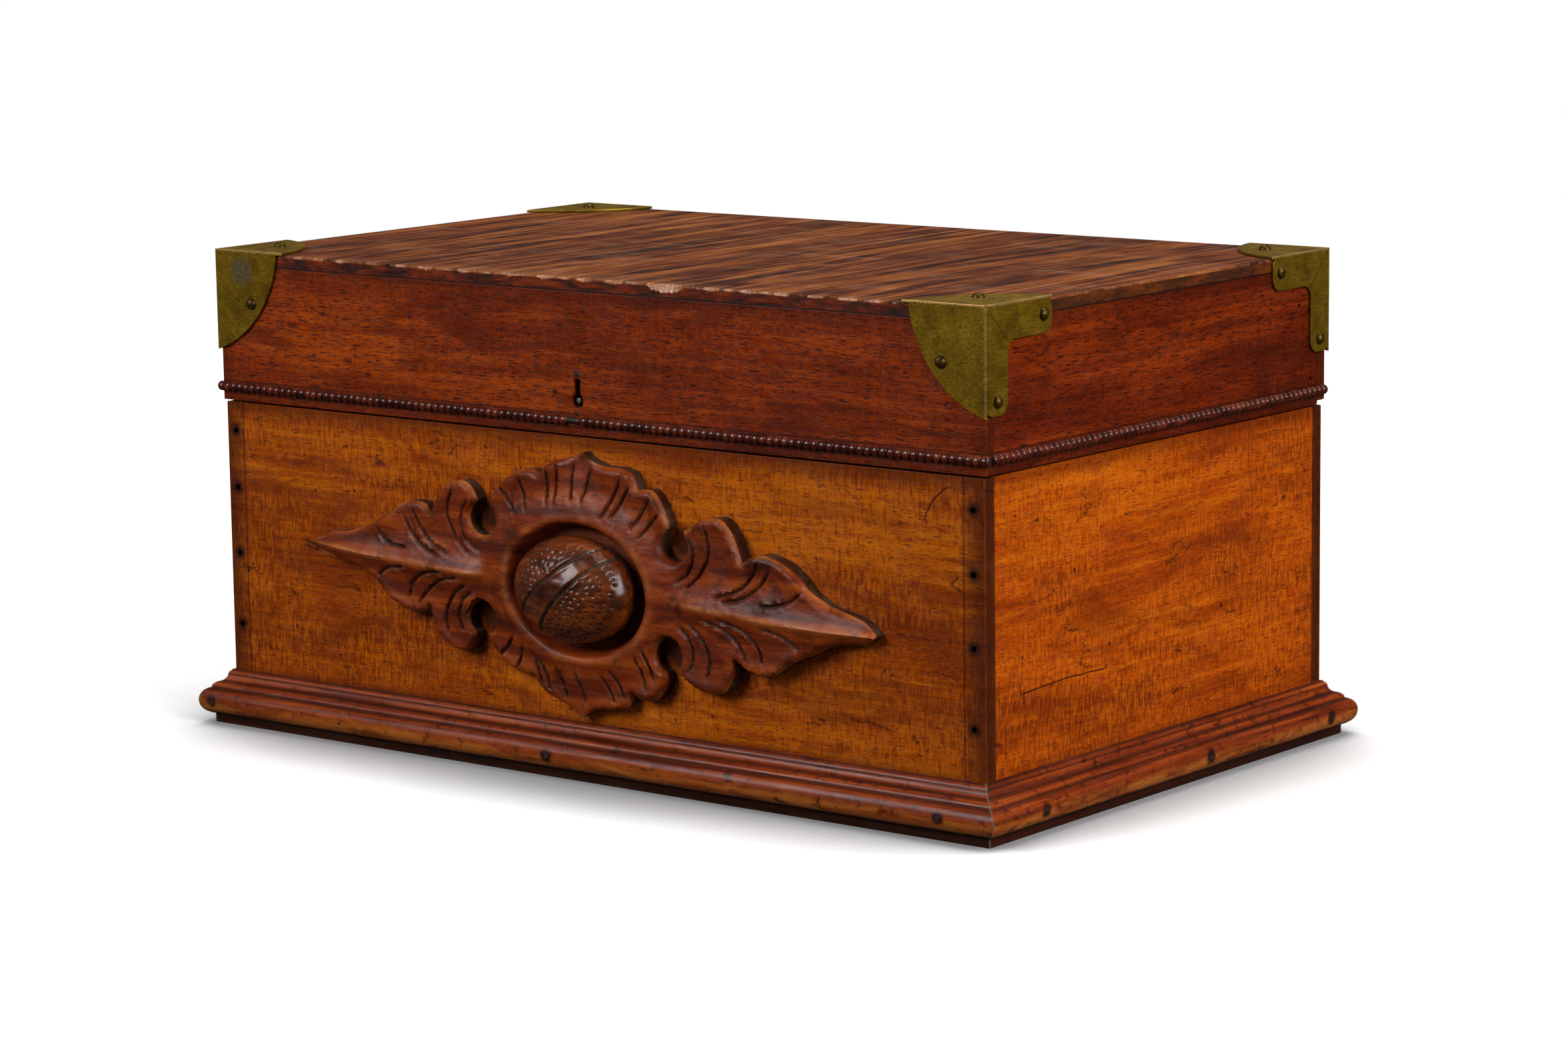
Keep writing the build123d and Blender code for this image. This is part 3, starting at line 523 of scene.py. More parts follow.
def grid_faces(rows, width, wrap_rows=False, wrap_width=True, first=0):
    """Four-sided faces between the vertices of a grid, which are numbered row by row from first."""
    faces = []
    for i in range(rows if wrap_rows else rows - 1):
        here, there = first + i * width, first + (i + 1) % rows * width
        for k in range(width if wrap_width else width - 1):
            m = (k + 1) % width
            faces.append((here + k, here + m, there + m, there + k))
    return faces


def tube_faces(rows, width):
    """Faces round a tube of rows, with both of its ends closed."""
    last = (rows - 1) * width
    return grid_faces(rows, width) + [tuple(range(width)), tuple(range(last + width - 1, last - 1, -1))]


def smooth_line(points, step):
    """Points about step apart on a Catmull-Rom curve through the given points."""
    points = [np.asarray(p, float) for p in points]
    points = [2 * points[0] - points[1], *points, 2 * points[-1] - points[-2]]
    line = []
    for a, b, c, d in zip(points, points[1:], points[2:], points[3:]):
        count = max(1, round(float(np.linalg.norm(c - b)) / step))
        for t in np.arange(count) / count:
            square, cube = 2 * a - 5 * b + 4 * c - d, 3 * b - a - 3 * c + d
            line.append(0.5 * (2 * b + (c - a) * t + square * t**2 + cube * t**3))
    line.append(points[-2])
    return line


def rough_at(x, y=0.0, z=0.0, scale=1.0):
    """Smooth noise from about -1 to 1 at a place in millimetres."""
    return noise.noise(Vector((x, y, z)) * scale)


# ---------------------------------------------------------------- carved cartouche

# The carving's own axes: u to the right, v up and n out of the board, from its centre on the board.
CARVING_CENTRE = Vector((1.0, span("case_front")[0].y, 79.3))
CARVING_TILT = math.radians(1.6)  # clockwise, seen from the front
RIM_CENTRE = (3.2, 0.3)
RIM_AXES = (37.0, 28.0)
RIM_LEVEL, FLOOR_LEVEL = 9.6, 1.8
EDGE_LEVEL = 7.4  # how far out the leaves' edges stand
GRID_STEP = 1.35
VEIN_WIDTH, VEIN_DEPTH = 0.88, 1.2
ROLL_WIDTH, ROLL_DROP = 3.2, 3.4  # how the leaves' edges turn down towards the board
HOLE_RADIUS = 7.2

# Each run of the outline is smooth, and the runs meet at notches and tips.
LEFT_TIP, RIGHT_TIP = (-152, 0.6), (151.7, 0.6)
TOP_TIP, BOTTOM_TIP = (3.2, 56.2), (2.2, -53.2)
TOP_RUNS = [
    [LEFT_TIP, (-142, 4.5), (-135, 7.3), (-125, 9), (-116, 12.3), (-110, 15.2), (-101, 20), (-96, 23.6),
     (-90.5, 25.6), (-85, 25.9), (-81.4, 25), (-78.6, 21.8)],
    [(-78.6, 21.8), (-77.3, 25.9), (-74, 31), (-69.5, 35), (-65, 36.8), (-60.5, 37.5), (-56, 35),
     (-53.2, 30.5)],
    ("hole", (-50, 23.2)),
    [(-46, 31.4), (-43, 36), (-38.6, 40.5), (-34, 43.6), (-29.5, 45.5), (-24, 46.4), (-19.5, 45)],
    [(-19.5, 45), (-16.8, 48.2), (-13, 50.5), (-7.7, 52.5), (-2.3, 53.4), (0.6, 54.8), TOP_TIP],
    [TOP_TIP, (5.6, 54.2), (8.6, 53), (14, 51.6), (20, 51.6), (25, 51.4), (29.5, 50), (31.8, 44)],
    [(31.8, 44), (35.5, 44.6), (39.5, 44.5), (43, 41.4), (46, 36.8), (47.7, 32.7)],
    ("hole", (51.8, 24.5)),
    [(55.8, 30.4), (59.5, 31.8), (64, 35.5), (70.5, 37.2), (76, 37.3), (82, 31.5), (86.8, 21.4)],
    [(86.8, 21.4), (90.5, 24), (96, 25.7), (102, 25), (109.5, 22.3), (116, 17.7), (119.5, 14), (125, 11),
     (129.5, 9), (138.6, 7.2), (146, 5), RIGHT_TIP],
]
BOTTOM_RUNS = [  # from the right tip back to the left one
    [RIGHT_TIP, (147, -2.8), (138.6, -4.5), (129.5, -6.8), (123, -10), (116, -13.2), (109.5, -16.8),
     (104, -21), (96.8, -22.5), (90.5, -21), (84.5, -17.7)],
    [(84.5, -17.7), (84, -22.3), (79.5, -30.5), (74, -33), (67.7, -33), (61.4, -31), (56, -28.2)],
    ("hole", (49.5, -20.9)),
    [(48.6, -29.5), (47.3, -34), (44, -38.6), (39.5, -41), (34, -41), (30.5, -39)],
    [(30.5, -39), (27.7, -45), (22, -47), (16, -47.7), (9.5, -49.5), (5, -51.6), BOTTOM_TIP],
    [BOTTOM_TIP, (-0.5, -51), (-3, -49.5), (-7.7, -47.7), (-14, -46), (-18.6, -43), (-20.5, -39.5)],
    [(-20.5, -39.5), (-22, -39), (-29.5, -38.6), (-36, -36.8), (-40.5, -33.6), (-46.4, -26.6)],
    ("hole", (-50, -18.6)),
    [(-53.6, -28.6), (-56, -31.8), (-60.5, -33.6), (-66, -33.2), (-71.4, -31), (-75.5, -26.8), (-78, -21.4),
     (-78.6, -17.3)],
    [(-78.6, -17.3), (-82, -20), (-87.7, -21.2), (-94, -20.3), (-100, -17.7), (-105, -14.5), (-110.5, -10),
     (-119.5, -6.4), (-132, -4.2), (-142, -2.6), LEFT_TIP],
]
VEINS = [
    # left wing, above and below
    [(-88, 24.5), (-85, 17.7), (-78, 10.5), (-66, 6)], [(-93.6, 20.5), (-89.5, 14), (-81, 7.7), (-72, 5)],
    [(-109, 13), (-103, 8), (-96, 6.4), (-89.5, 6)], [(-108.6, -8), (-101, -3.6), (-90.5, -2)],
    [(-90.5, -16.4), (-88, -8.6), (-80.5, -3.4), (-68.6, -1.5)], [(-85, -17.7), (-81, -12), (-72, -5.5),
                                                                  (-60.5, -3)],
    # left lobes
    [(-66, 34.5), (-69, 24), (-64, 14), (-56, 7)], [(-57, 31), (-61, 23), (-58.6, 14), (-50.5, 9)],
    [(-68, -27.7), (-69.5, -19.5), (-66, -11.5), (-57.7, -5)], [(-59, -26), (-62, -19.5), (-60.5, -12.4),
                                                                (-55, -8)],
    # right lobes
    [(68, 34.5), (70.5, 24), (66, 14), (58, 7)], [(59, 29.5), (62.5, 22.5), (60, 14), (52.5, 9)],
    [(70, -28), (71.5, -19.5), (67.5, -11.5), (59, -5)], [(60.5, -26), (63, -19.5), (61, -12.4), (55, -8)],
    # right wing, above and below
    [(96, 24), (93, 17.4), (86, 10.5), (74, 6)], [(102, 21.5), (97, 14), (89, 8), (79, 5)],
    [(117, 13.5), (111, 9), (104, 6.8), (97, 6)], [(116, -9.5), (109, -5), (99, -2.5)],
    [(99, -18.5), (95.5, -10), (88, -4.6), (76, -2)], [(91.5, -18.5), (87.5, -12), (79, -6), (67, -3)],
    # top of the middle leaf
    [(-40, 37), (-35, 32.4), (-31, 27)], [(-30, 42), (-27, 36), (-25.5, 30)], [(-15.5, 49), (-14.2, 41),
                                                                               (-14, 33)],
    [(-9.5, 49.5), (-9.6, 41), (-9.5, 33)], [(-1.5, 51.6), (-1.6, 43), (-1, 35.5)], [(8, 51), (6.2, 43),
                                                                                     (4.5, 35.5)],
    [(24.5, 48.5), (20.5, 40), (15.5, 31)], [(29.5, 46), (25, 39), (20, 31)], [(39.5, 41.5), (35.5, 35),
                                                                               (30.5, 28.6)],
    [(44.2, 36.5), (39.5, 30.5), (34.5, 25)],
    # bottom of the middle leaf
    [(-39.5, -32.5), (-35, -28), (-31.5, -23.5)], [(-30.5, -36.8), (-28, -31.5), (-26, -26.5)],
    [(-16.6, -43), (-18.6, -35), (-20.6, -28.5)], [(-12.4, -43.4), (-14.6, -36), (-17, -30.5)],
    [(-3.4, -46.5), (-5.6, -38.5), (-8.6, -31.5)], [(6, -47), (4.4, -40.5), (2, -34)],
    [(22, -44.2), (19, -38.5), (15.5, -33.2)], [(27.4, -42), (24, -36), (20, -30.5)],
    [(38.4, -37.6), (36.2, -29.5), (33.6, -22.5)], [(42.8, -33), (40, -26), (36.8, -19)],
]
SCALLOP_LEVEL_SPOTS = [  # (u, v, reach, level) where the leaves thin out towards their tips
    (-152, 0.6, 42, 3.2), (151.7, 0.6, 42, 5.0), (3.2, 56.2, 18, 5.0), (2.2, -53.2, 15, 5.2),
]


def carving_outline():
    """The leaves' outline, clockwise from the left tip, with the four holes as bays in it."""
    line = []
    runs = TOP_RUNS + BOTTOM_RUNS
    for i, run in enumerate(runs):
        if run[0] != "hole":
            shared_end = runs[(i + 1) % len(runs)][0] == run[-1]
            line += smooth_line(run, 1.3)[:-1] if shared_end else smooth_line(run, 1.3)
            continue
        centre = np.array(run[1], float)
        start = np.array(line[-1]) - centre
        end = np.array(runs[i + 1][0], float) - centre
        first, last = math.atan2(start[1], start[0]), math.atan2(end[1], end[0])
        while last < first + math.pi:
            last += math.tau
        for angle in np.linspace(first, last, 34)[1:-1]:
            line.append(centre + HOLE_RADIUS * np.array((math.cos(angle), math.sin(angle))))
    return np.array(line)


def distance_to_line(points, line, closed=False):
    """Each point's distance to a polyline, and how far along it the nearest place is, from 0 to 1."""
    points, line = np.asarray(points, float), np.asarray(line, float)
    if closed:
        line = np.vstack([line, line[:1]])
    best, place = np.full(len(points), 1e9), np.zeros(len(points))
    lengths = np.linalg.norm(np.diff(line, axis=0), axis=1)
    done, total = 0.0, lengths.sum()
    for a, b, length in zip(line, line[1:], lengths):
        if length < 1e-9:
            continue
        t = np.clip(((points - a) @ (b - a)) / length**2, 0, 1)
        gap = np.linalg.norm(points - (a + t[:, None] * (b - a)), axis=1)
        nearer = gap < best
        best[nearer] = gap[nearer]
        place[nearer] = (done + t[nearer] * length) / total
        done += length
    return best, place


def smoothstep(low, high, value):
    t = np.clip((value - low) / (high - low), 0, 1)
    return t * t * (3 - 2 * t)


def rim_radius(points):
    """1 on the dish's rim, less inside it and more outside."""
    return np.hypot((points[:, 0] - RIM_CENTRE[0]) / RIM_AXES[0],
                    (points[:, 1] - RIM_CENTRE[1]) / RIM_AXES[1])


def edge_level(points):
    level = np.full(len(points), EDGE_LEVEL) + 1.2 * smoothstep(40, 90, points[:, 0])
    for u, v, reach, tip in SCALLOP_LEVEL_SPOTS:
        gap = np.hypot(points[:, 0] - u, points[:, 1] - v)
        level = level + (tip - level) * (1 - smoothstep(0, reach, gap))
    return level


def ridge_at(u):
    """How high the wings' midrib runs at u."""
    return 0.7 + 0.6 * np.sin(u / 30)


def carving_surface(points, outline):
    """The carved face's height above the board, with its crest and cut amounts."""
    inside, _ = distance_to_line(points, outline, closed=True)
    u, v = points[:, 0], points[:, 1]
    ring = rim_radius(points)
    base = edge_level(points)
    out = np.abs(u - RIM_CENTRE[0])
    wing = smoothstep(44, 60, out)
    ridge_line = np.abs(v - ridge_at(u))
    half_height = inside + ridge_line
    slope = np.clip(ridge_line / np.maximum(half_height, 1.0), 0, 1)
    crest_height = 3.1 - 1.6 * smoothstep(128, 155, out)
    hollow = 1.3 * np.sin(math.pi * slope) ** 1.3 * smoothstep(4, 14, half_height)
    blade = crest_height * (1 - slope) ** 1.35 - hollow
    curl = 1.5 * np.exp(-inside / 2.2) * smoothstep(7, 12, np.abs(v)) * (1 - smoothstep(105, 122, out))
    height = base + wing * blade + curl * wing
    sunk = 0.5 * smoothstep(0, 6, inside) * smoothstep(1.15, 1.5, ring)
    middle = (1 - wing) * (0.7 * np.exp(-inside / 2.4) - sunk)
    height = height + middle
    shoulder = 1 - smoothstep(1.05, 1.5, ring)
    height = height + shoulder * (RIM_LEVEL - height)
    crown = np.exp(-(((ring - 1.05) / 0.045) ** 2))
    height = height + 0.35 * crown
    wall = 1 - smoothstep(0.86, 1.0, ring)
    height = height + wall * (FLOOR_LEVEL - height)
    # cut marks the grooves for darkening; the dish's floor gets half of it, painted shade in the recess
    cut = 0.5 * (1 - smoothstep(0.84, 0.94, ring))
    for vein in VEINS:
        gap, place = distance_to_line(points, smooth_line(vein, 1.5))
        taper = np.clip(np.sin(math.pi * np.clip(place, 0.02, 0.98)) * 3.4, 0.3, 1.0)
        share = np.clip(1 - gap / (VEIN_WIDTH * (0.55 + 0.45 * taper)), 0, 1)
        height = height - VEIN_DEPTH * taper * share * (1 - wall)
        cut = np.maximum(cut, taper * smoothstep(0.05, 0.6, share))
        banks = np.exp(-(((gap - 1.35 * VEIN_WIDTH) / 0.7) ** 2)) * taper * 0.22
        height = height + banks * (1 - wall)
    roll = np.clip(1 - inside / ROLL_WIDTH, 0, 1) * smoothstep(3.0, 7.0, base)
    height = height - ROLL_DROP * (1 - np.sqrt(np.clip(1 - roll**2, 0, 1)))
    ripple = np.array([rough_at(a, b, 2.0, 0.16) + 0.5 * rough_at(a, b, 7.0, 0.42) for a, b in points])
    height = height + 0.22 * ripple
    wear = np.array([rough_at(a, b, 11.0, 0.11) for a, b in points])
    crest = wing * np.exp(-((ridge_line / 0.95) ** 2)) * smoothstep(0.5, 2.5, inside) * (0.75 + 0.5 * wear)
    crest = np.maximum(crest, 0.42 * crown * (0.6 + 0.8 * wear))
    # the leaves' edges: worn bare, and also a painted highlight in place of the light that a rounded edge
    # catches
    edge_wear_and_highlight = np.exp(-((inside / 0.75) ** 2)) * np.clip(0.42 + 0.9 * wear, 0, 0.8)
    crest = np.clip(np.maximum(crest, edge_wear_and_highlight) * (1 - cut), 0, 1)
    return height, crest, cut


def carving_place(u, v, n):
    """A point on the carving's axes, in the row frame, in millimetres."""
    cos, sin = math.cos(CARVING_TILT), math.sin(CARVING_TILT)
    x = CARVING_CENTRE.x + u * cos + v * sin
    z = CARVING_CENTRE.z - u * sin + v * cos
    return x, CARVING_CENTRE.y - n, z


def well_inside(candidates, outline, clearance):
    """The candidates that lie inside the outline and farther than clearance from it."""
    candidates = np.asarray(candidates, float)
    gap, _ = distance_to_line(candidates, outline, closed=True)
    return candidates[(gap > clearance) & inside_outline(candidates, outline)]


def carving_points(outline):
    """The carved face's points, and the edges that follow its veins. The outline's points come first."""
    points, edges = [Vector(p) for p in outline], []
    taken = [np.asarray(outline)]

    def take(more):
        points.extend(Vector(p) for p in more)
        taken.append(more)

    for vein in VEINS:
        line = well_inside(smooth_line(vein, 1.1), outline, 0.35)
        if len(line) > 1:
            edges.extend((len(points) + i, len(points) + i + 1) for i in range(len(line) - 1))
            take(line)
    for share in (0.80, 0.85, 0.89, 0.93, 0.96, 0.985, 1.01, 1.035, 1.06, 1.09, 1.13, 1.18, 1.24, 1.31):
        angles = np.linspace(0, math.tau, 190, endpoint=False)
        ellipse = np.column_stack([RIM_CENTRE[0] + share * RIM_AXES[0] * np.cos(angles),
                                   RIM_CENTRE[1] + share * RIM_AXES[1] * np.sin(angles)])
        ellipse = well_inside(ellipse, outline, 0.5)
        take(ellipse[nearest_gap(ellipse, taken) > 0.45])
    low, high = outline.min(0), outline.max(0)
    near_ridge = [(u, ridge_at(u) + shift) for shift in (-0.8, 0, 0.8)
                  for u in np.arange(low[0], high[0], 0.9) if abs(u - RIM_CENTRE[0]) > 46]
    near_ridge = well_inside(near_ridge, outline, 0.5)
    take(near_ridge[nearest_gap(near_ridge, taken) > 0.45])
    grid = [(u + (row % 2) * GRID_STEP / 2, v)
            for row, v in enumerate(np.arange(low[1], high[1], GRID_STEP * 0.866))
            for u in np.arange(low[0], high[0], GRID_STEP)]
    grid = well_inside(grid, outline, 0.55)
    ring = rim_radius(grid)
    grid = grid[(ring < 0.78) | (ring > 1.33)]
    take(grid[nearest_gap(grid, taken) > 0.62])
    return points, edges


def build_cartouche(material):
    """The carved leaves: a face over the outline, with walls from its rim down to the board."""
    outline = carving_outline()
    points, edges = carving_points(outline)
    border = list(range(len(outline)))
    flat, _, triangles, *_ = delaunay_2d_cdt(points, edges, [border], 1, 1e-5)
    flat = np.array([(p.x, p.y) for p in flat])
    height, crest, cut = carving_surface(flat, outline)
    vertices = [carving_place(u, v, n) for (u, v), n in zip(flat, height)]
    faces = [tuple(t) for t in triangles]
    rim = boundary_loop(faces)
    attributes = {"crest": list(crest), "cut": list(cut), "wall": [0.0] * len(vertices)}
    previous, count = rim, len(rim)
    # the walls get a wall amount that rises towards the board: painted shade
    for share in (0.9, 0.45, 0.0):
        start = len(vertices)
        for index in rim:
            u, v = flat[index]
            vertices.append(carving_place(u, v, height[index] * share - 0.25 * (share == 0)))
            attributes["crest"].append(0.0)
            attributes["cut"].append(0.0)
            attributes["wall"].append(1.0 - 0.6 * share)
        lower = list(range(start, start + count))
        for i in range(count):
            j = (i + 1) % count
            faces.append((previous[i], previous[j], lower[j], lower[i]))
        previous = lower
    faces.append(tuple(reversed(previous)))
    mesh_object("ornament_cartouche_carved", vertices, faces, material, "case",
                ("ornament_cartouche",), attributes, sharp=48)


def inside_outline(points, outline):
    """True for the points inside the closed outline."""
    x, y = points[:, 0], points[:, 1]
    inside = np.zeros(len(points), bool)
    for (ax, ay), (bx, by) in zip(outline, np.roll(outline, -1, axis=0)):
        if ay == by:
            continue
        crosses = (ay > y) != (by > y)
        inside ^= crosses & (x < (bx - ax) * (y - ay) / (by - ay) + ax)
    return inside


def nearest_gap(points, groups):
    """Each point's distance to the nearest of the points in groups."""
    others = np.vstack([g for g in groups if len(g)])
    gap = np.full(len(points), 1e9)
    for start in range(0, len(others), 400):
        block = others[start:start + 400]
        gap = np.minimum(gap, np.sqrt(((points[:, None, :] - block[None]) ** 2).sum(2)).min(1))
    return gap


def boundary_loop(faces):
    """The vertices round the open edge of a disc of faces, in order."""
    sides = {}  # each side that only one face has, in that face's direction
    for face in faces:
        for a, b in zip(face, face[1:] + face[:1]):
            if sides.pop((b, a), None) is None:
                sides[(a, b)] = True
    following = {a: b for a, b in sides}
    start = next(iter(following))
    loop, here = [start], following[start]
    while here != start:
        loop.append(here)
        here = following[here]
    return loop


BOSS_CENTRE = (3.6, 0.9, 10.0)
BOSS_AXES = (29.3, 21.6, 16.5)
BOSS_FOOT = 1.2
BOSS_CUTS = [(140, 0.10, 0.16), (145, 0.06, -0.19)]  # each cut's plane: heading in degrees, lean, offset


def past_cut(places, heading, lean, offset):
    """How far places on the unit sphere lie past a cut's plane."""
    angle = math.radians(heading)
    return places @ np.array([math.cos(angle), math.sin(angle), -lean]) - offset


def build_boss(material):
    """An egg with a plain band between two cuts and small punched dimples on each side of it."""
    rings, spokes = 110, 300
    foot = math.acos(np.clip((BOSS_FOOT - BOSS_CENTRE[2]) / BOSS_AXES[2], -1, 1))
    sphere = [(0.0, 0.0, 1.0)]
    for i in range(1, rings):
        polar = foot * i / (rings - 1)
        for j in range(spokes):
            angle = math.tau * j / spokes
            sphere.append((math.sin(polar) * math.cos(angle), math.sin(polar) * math.sin(angle),
                           math.cos(polar)))
    sphere = np.array(sphere)
    upper = sphere[:, 2] > -0.15
    depth, cut = np.zeros(len(sphere)), np.zeros(len(sphere))
    for plane in BOSS_CUTS:
        gap = 24.0 * np.abs(past_cut(sphere, *plane))
        share = np.clip(1 - gap / 0.85, 0, 1)
        depth -= 0.9 * share * upper
        depth += 0.2 * np.exp(-(((gap - 1.5) / 0.7) ** 2)) * upper
        cut = np.maximum(cut, smoothstep(0.0, 0.6, share) * upper)
    for a, b in dimple_places():
        gap = np.hypot((sphere[:, 0] - a) * 25, (sphere[:, 1] - b) * 22)
        pit = np.exp(-((gap / 0.52) ** 2)) * upper
        depth -= 0.6 * pit
        cut = np.maximum(cut, 0.85 * pit)
    ripple = np.array([rough_at(*(p * 6.0)) for p in sphere])
    depth += 0.25 * ripple
    depth -= 0.35 * np.exp(-(((sphere[:, 2] + 0.18) / 0.06) ** 2)) * (sphere[:, 1] > -0.2)
    vertices = [carving_place(*(c + a * d + push * d for c, a, d in zip(BOSS_CENTRE, BOSS_AXES, direction)))
                for direction, push in zip(sphere, depth)]
    faces = [(0, 1 + j, 1 + (j + 1) % spokes) for j in range(spokes)]
    faces += grid_faces(rings - 1, spokes, first=1)
    faces.append(tuple(range(len(vertices) - 1, len(vertices) - 1 - spokes, -1)))
    # cut darkens the boss's cuts and dimples with painted shade and dust; wall is painted shade on its
    # underside
    attributes = {"crest": np.clip(0.10 * np.abs(ripple), 0, 1), "cut": cut,
                  "wall": np.clip((-sphere[:, 2] - 0.1) / 0.4, 0, 1)}
    mesh_object("ornament_boss_carved", vertices, faces, material, "case",
                ("ornament_boss",), attributes, sharp=60)


def dimple_places():
    """Punched dots scattered evenly on both sides of the plain band."""
    spots = []
    for row, b in enumerate(np.arange(-0.9, 0.92, 0.105)):
        for a in np.arange(-0.9, 0.92, 0.115):
            place = (a + 0.057 * (row % 2) + RNG.normal(0, 0.018), b + RNG.normal(0, 0.018))
            reach = math.hypot(*place)
            on_sphere = np.array([*place, math.sqrt(max(0.0, 1 - reach**2))])
            above, below = (past_cut(on_sphere, *plane) for plane in BOSS_CUTS)
            if reach < 0.93 and (above > 0.05 or below < -0.05):
                spots.append(place)
    return spots


# ---------------------------------------------------------------- beading

BEAD_PITCH = 3.65
# One bead as (place along it, radius), in shares of the pitch and of its own radius.
BEAD_PROFILE = [(-0.5, 0.62), (-0.42, 0.80), (-0.32, 0.93), (-0.18, 0.99), (0.0, 1.0), (0.18, 0.99),
                (0.32, 0.93), (0.42, 0.80)]


def build_beading(node, across, lengthwise, outward, material, overrun=0.0, damage=None):
    """A strip of turned half-round beads where the CAD strip is. At damage, the beads are worn away."""
    low, high = span(node)
    radius = (high.z - low.z) / 2
    middle_z = (high.z + low.z) / 2
    start, end = low[lengthwise] - overrun, high[lengthwise] + overrun
    length = end - start
    wall = low[across] if outward > 0 else high[across]
    count = round(length / BEAD_PITCH)
    pitch = length / count
    turns = 10
    vertices, groove, rows = [], [], []
    for bead in range(count):
        size = 1.0 - 0.035 * abs(RNG.normal())
        worn = RNG.uniform(0.0, 0.05)
        for share, profile in BEAD_PROFILE:
            if damage and abs(start + (bead + 0.5) * pitch - damage) < 3.4:
                profile = 0.55 + 0.12 * RNG.normal()
            rows.append((start + (bead + 0.5 + share) * pitch, min(profile * size, 1.0) * radius - worn,
                         profile))
    rows.append((end, 0.6 * radius, 0.6))
    for position, reach, profile in rows:
        for turn in range(turns + 1):
            angle = math.pi * (turn / turns - 0.5)
            point = [0.0, 0.0, 0.0]
            point[lengthwise] = position
            point[across] = wall + outward * reach * math.cos(angle)
            point[2] = middle_z + reach * math.sin(angle)
            vertices.append(point)
            groove.append(np.clip((0.93 - profile) / 0.3, 0, 1))
    faces = tube_faces(len(rows), turns + 1)
    mesh_object(node + "_turned", vertices, faces, material, "lid", (node,),
                {"groove": groove}, 50)


# ---------------------------------------------------------------- the lid's chipped top

CHIPS = [  # along the front arris: (x, half length, drop down the face, reach across the top)
    (-143, 4, 1.4, 0.7), (-130, 3, 2.1, 1.0), (-112, 5, 1.0, 0.6), (-97, 3, 1.3, 0.7), (-82, 4, 2.2, 1.0),
    (-70, 3, 1.0, 0.6), (-60, 4, 2.3, 0.9), (-48, 4, 1.1, 0.6), (-35, 5, 2.0, 1.2), (-17, 4, 2.5, 1.1),
    (-6, 3, 1.2, 0.6), (4, 4, 2.3, 1.3), (20, 5, 2.2, 1.0), (31, 3, 1.2, 0.7), (46.5, 9.5, 3.3, 1.7),
    (70, 4, 2.4, 1.2), (79, 3, 1.2, 0.6), (88, 4, 2.1, 1.0), (97, 4, 1.3, 0.7), (105, 4, 2.2, 1.0),
    (121, 5, 1.1, 0.6), (137, 5, 2.0, 0.9), (150, 4, 1.2, 0.6),
]
OTHER_CHIPS = 26  # smaller ones along each of the other three arrises


def chip_sizes(position, chips, seed):
    """How far the arris is broken away at a place along it: down the face, and across the top."""
    drop = 0.45 + 0.35 * rough_at(position, seed, 0, 0.12) + 0.22 * rough_at(position, seed, 5, 0.8)
    reach = 0.40 + 0.22 * rough_at(position, seed, 9, 0.30)
    for centre, half, deep, wide in chips:
        share = (position - centre) / half
        if abs(share) < 1:
            ragged = 1 + 0.35 * rough_at(position, seed + 3, 2, 0.9)
            form = (1 - share * share) ** 0.55 * ragged * (1.0 if deep > 3 else 0.62)
            drop, reach = max(drop, deep * form), max(reach, wide * form)
    return max(drop, 0.22), max(reach, 0.2)


PANEL_INSET, VENEER_INSET = 12.0, 14.0  # from the arris to where the panel and the veneer turn flat


def chipped_sections():
    """The panel's and the veneer's sections all round, as ((x, y, z), how broken) from bottom to top."""
    low, high = span("lid_top_veneer")
    seam, top = low.z, high.z
    depth = top - seam
    corners = [(low.x, low.y), (high.x, low.y), (high.x, high.y), (low.x, high.y)]
    panel, veneer = [], []
    for side in range(4):
        a, b = np.array(corners[side]), np.array(corners[(side + 1) % 4])
        length = float(np.linalg.norm(b - a))
        way = (b - a) / length
        inward = np.array((-way[1], way[0]))
        in_front = side == 0
        chips = CHIPS if in_front else [
            (RNG.uniform(-length / 2 + 42, length / 2 - 42), RNG.uniform(1, 3), RNG.uniform(0.5, 1.1),
             RNG.uniform(0.3, 0.5)) for _ in range(OTHER_CHIPS)]
        count = int(length / 0.55)
        for i in range(count):
            at = i / count * length
            drop, reach = chip_sizes(at - length / 2, chips, side * 17.0)
            fade = smoothstep(0.0, 3.0, at) * smoothstep(0.0, 3.0, length - at)
            drop, reach = 0.15 + (drop - 0.15) * fade, 0.15 + (reach - 0.15) * fade
            broken = float(smoothstep(0.35, 0.8, drop)) * (1.0 if in_front else 0.45)

            def point(into, z, place=a + way * at):
                return (*(place + inward * into), z)

            through = drop > depth  # the chip runs through the veneer into the panel
            shoulder = min(seam, top - drop)
            cut_at_seam = reach * max(0.0, drop - depth) / drop
            hollow = 0.18 * min(drop, 2.0)
            panel.append([
                (point(0, panel_low.z), 0.0),
                (point(0, shoulder - 0.02), 0.0),
                (point(0, shoulder), broken * through),
                (point(cut_at_seam * 0.55 + hollow * through, (shoulder + seam) / 2), broken),
                (point(cut_at_seam, seam), broken * through),
                (point(PANEL_INSET, seam), 0.0)])
            foot = seam if through else top - drop
            veneer.append([
                (point(cut_at_seam * through, seam), broken),
                (point(cut_at_seam * through, foot + 0.001), broken),
                (point((cut_at_seam * through + reach) / 2 + hollow * 0.5, (foot + top) / 2 - 0.04), broken),
                (point(reach, top), broken),
                (point(reach + 0.15, top), 0.35 * broken),
                (point(VENEER_INSET, top), 0.0)])
    return panel, veneer


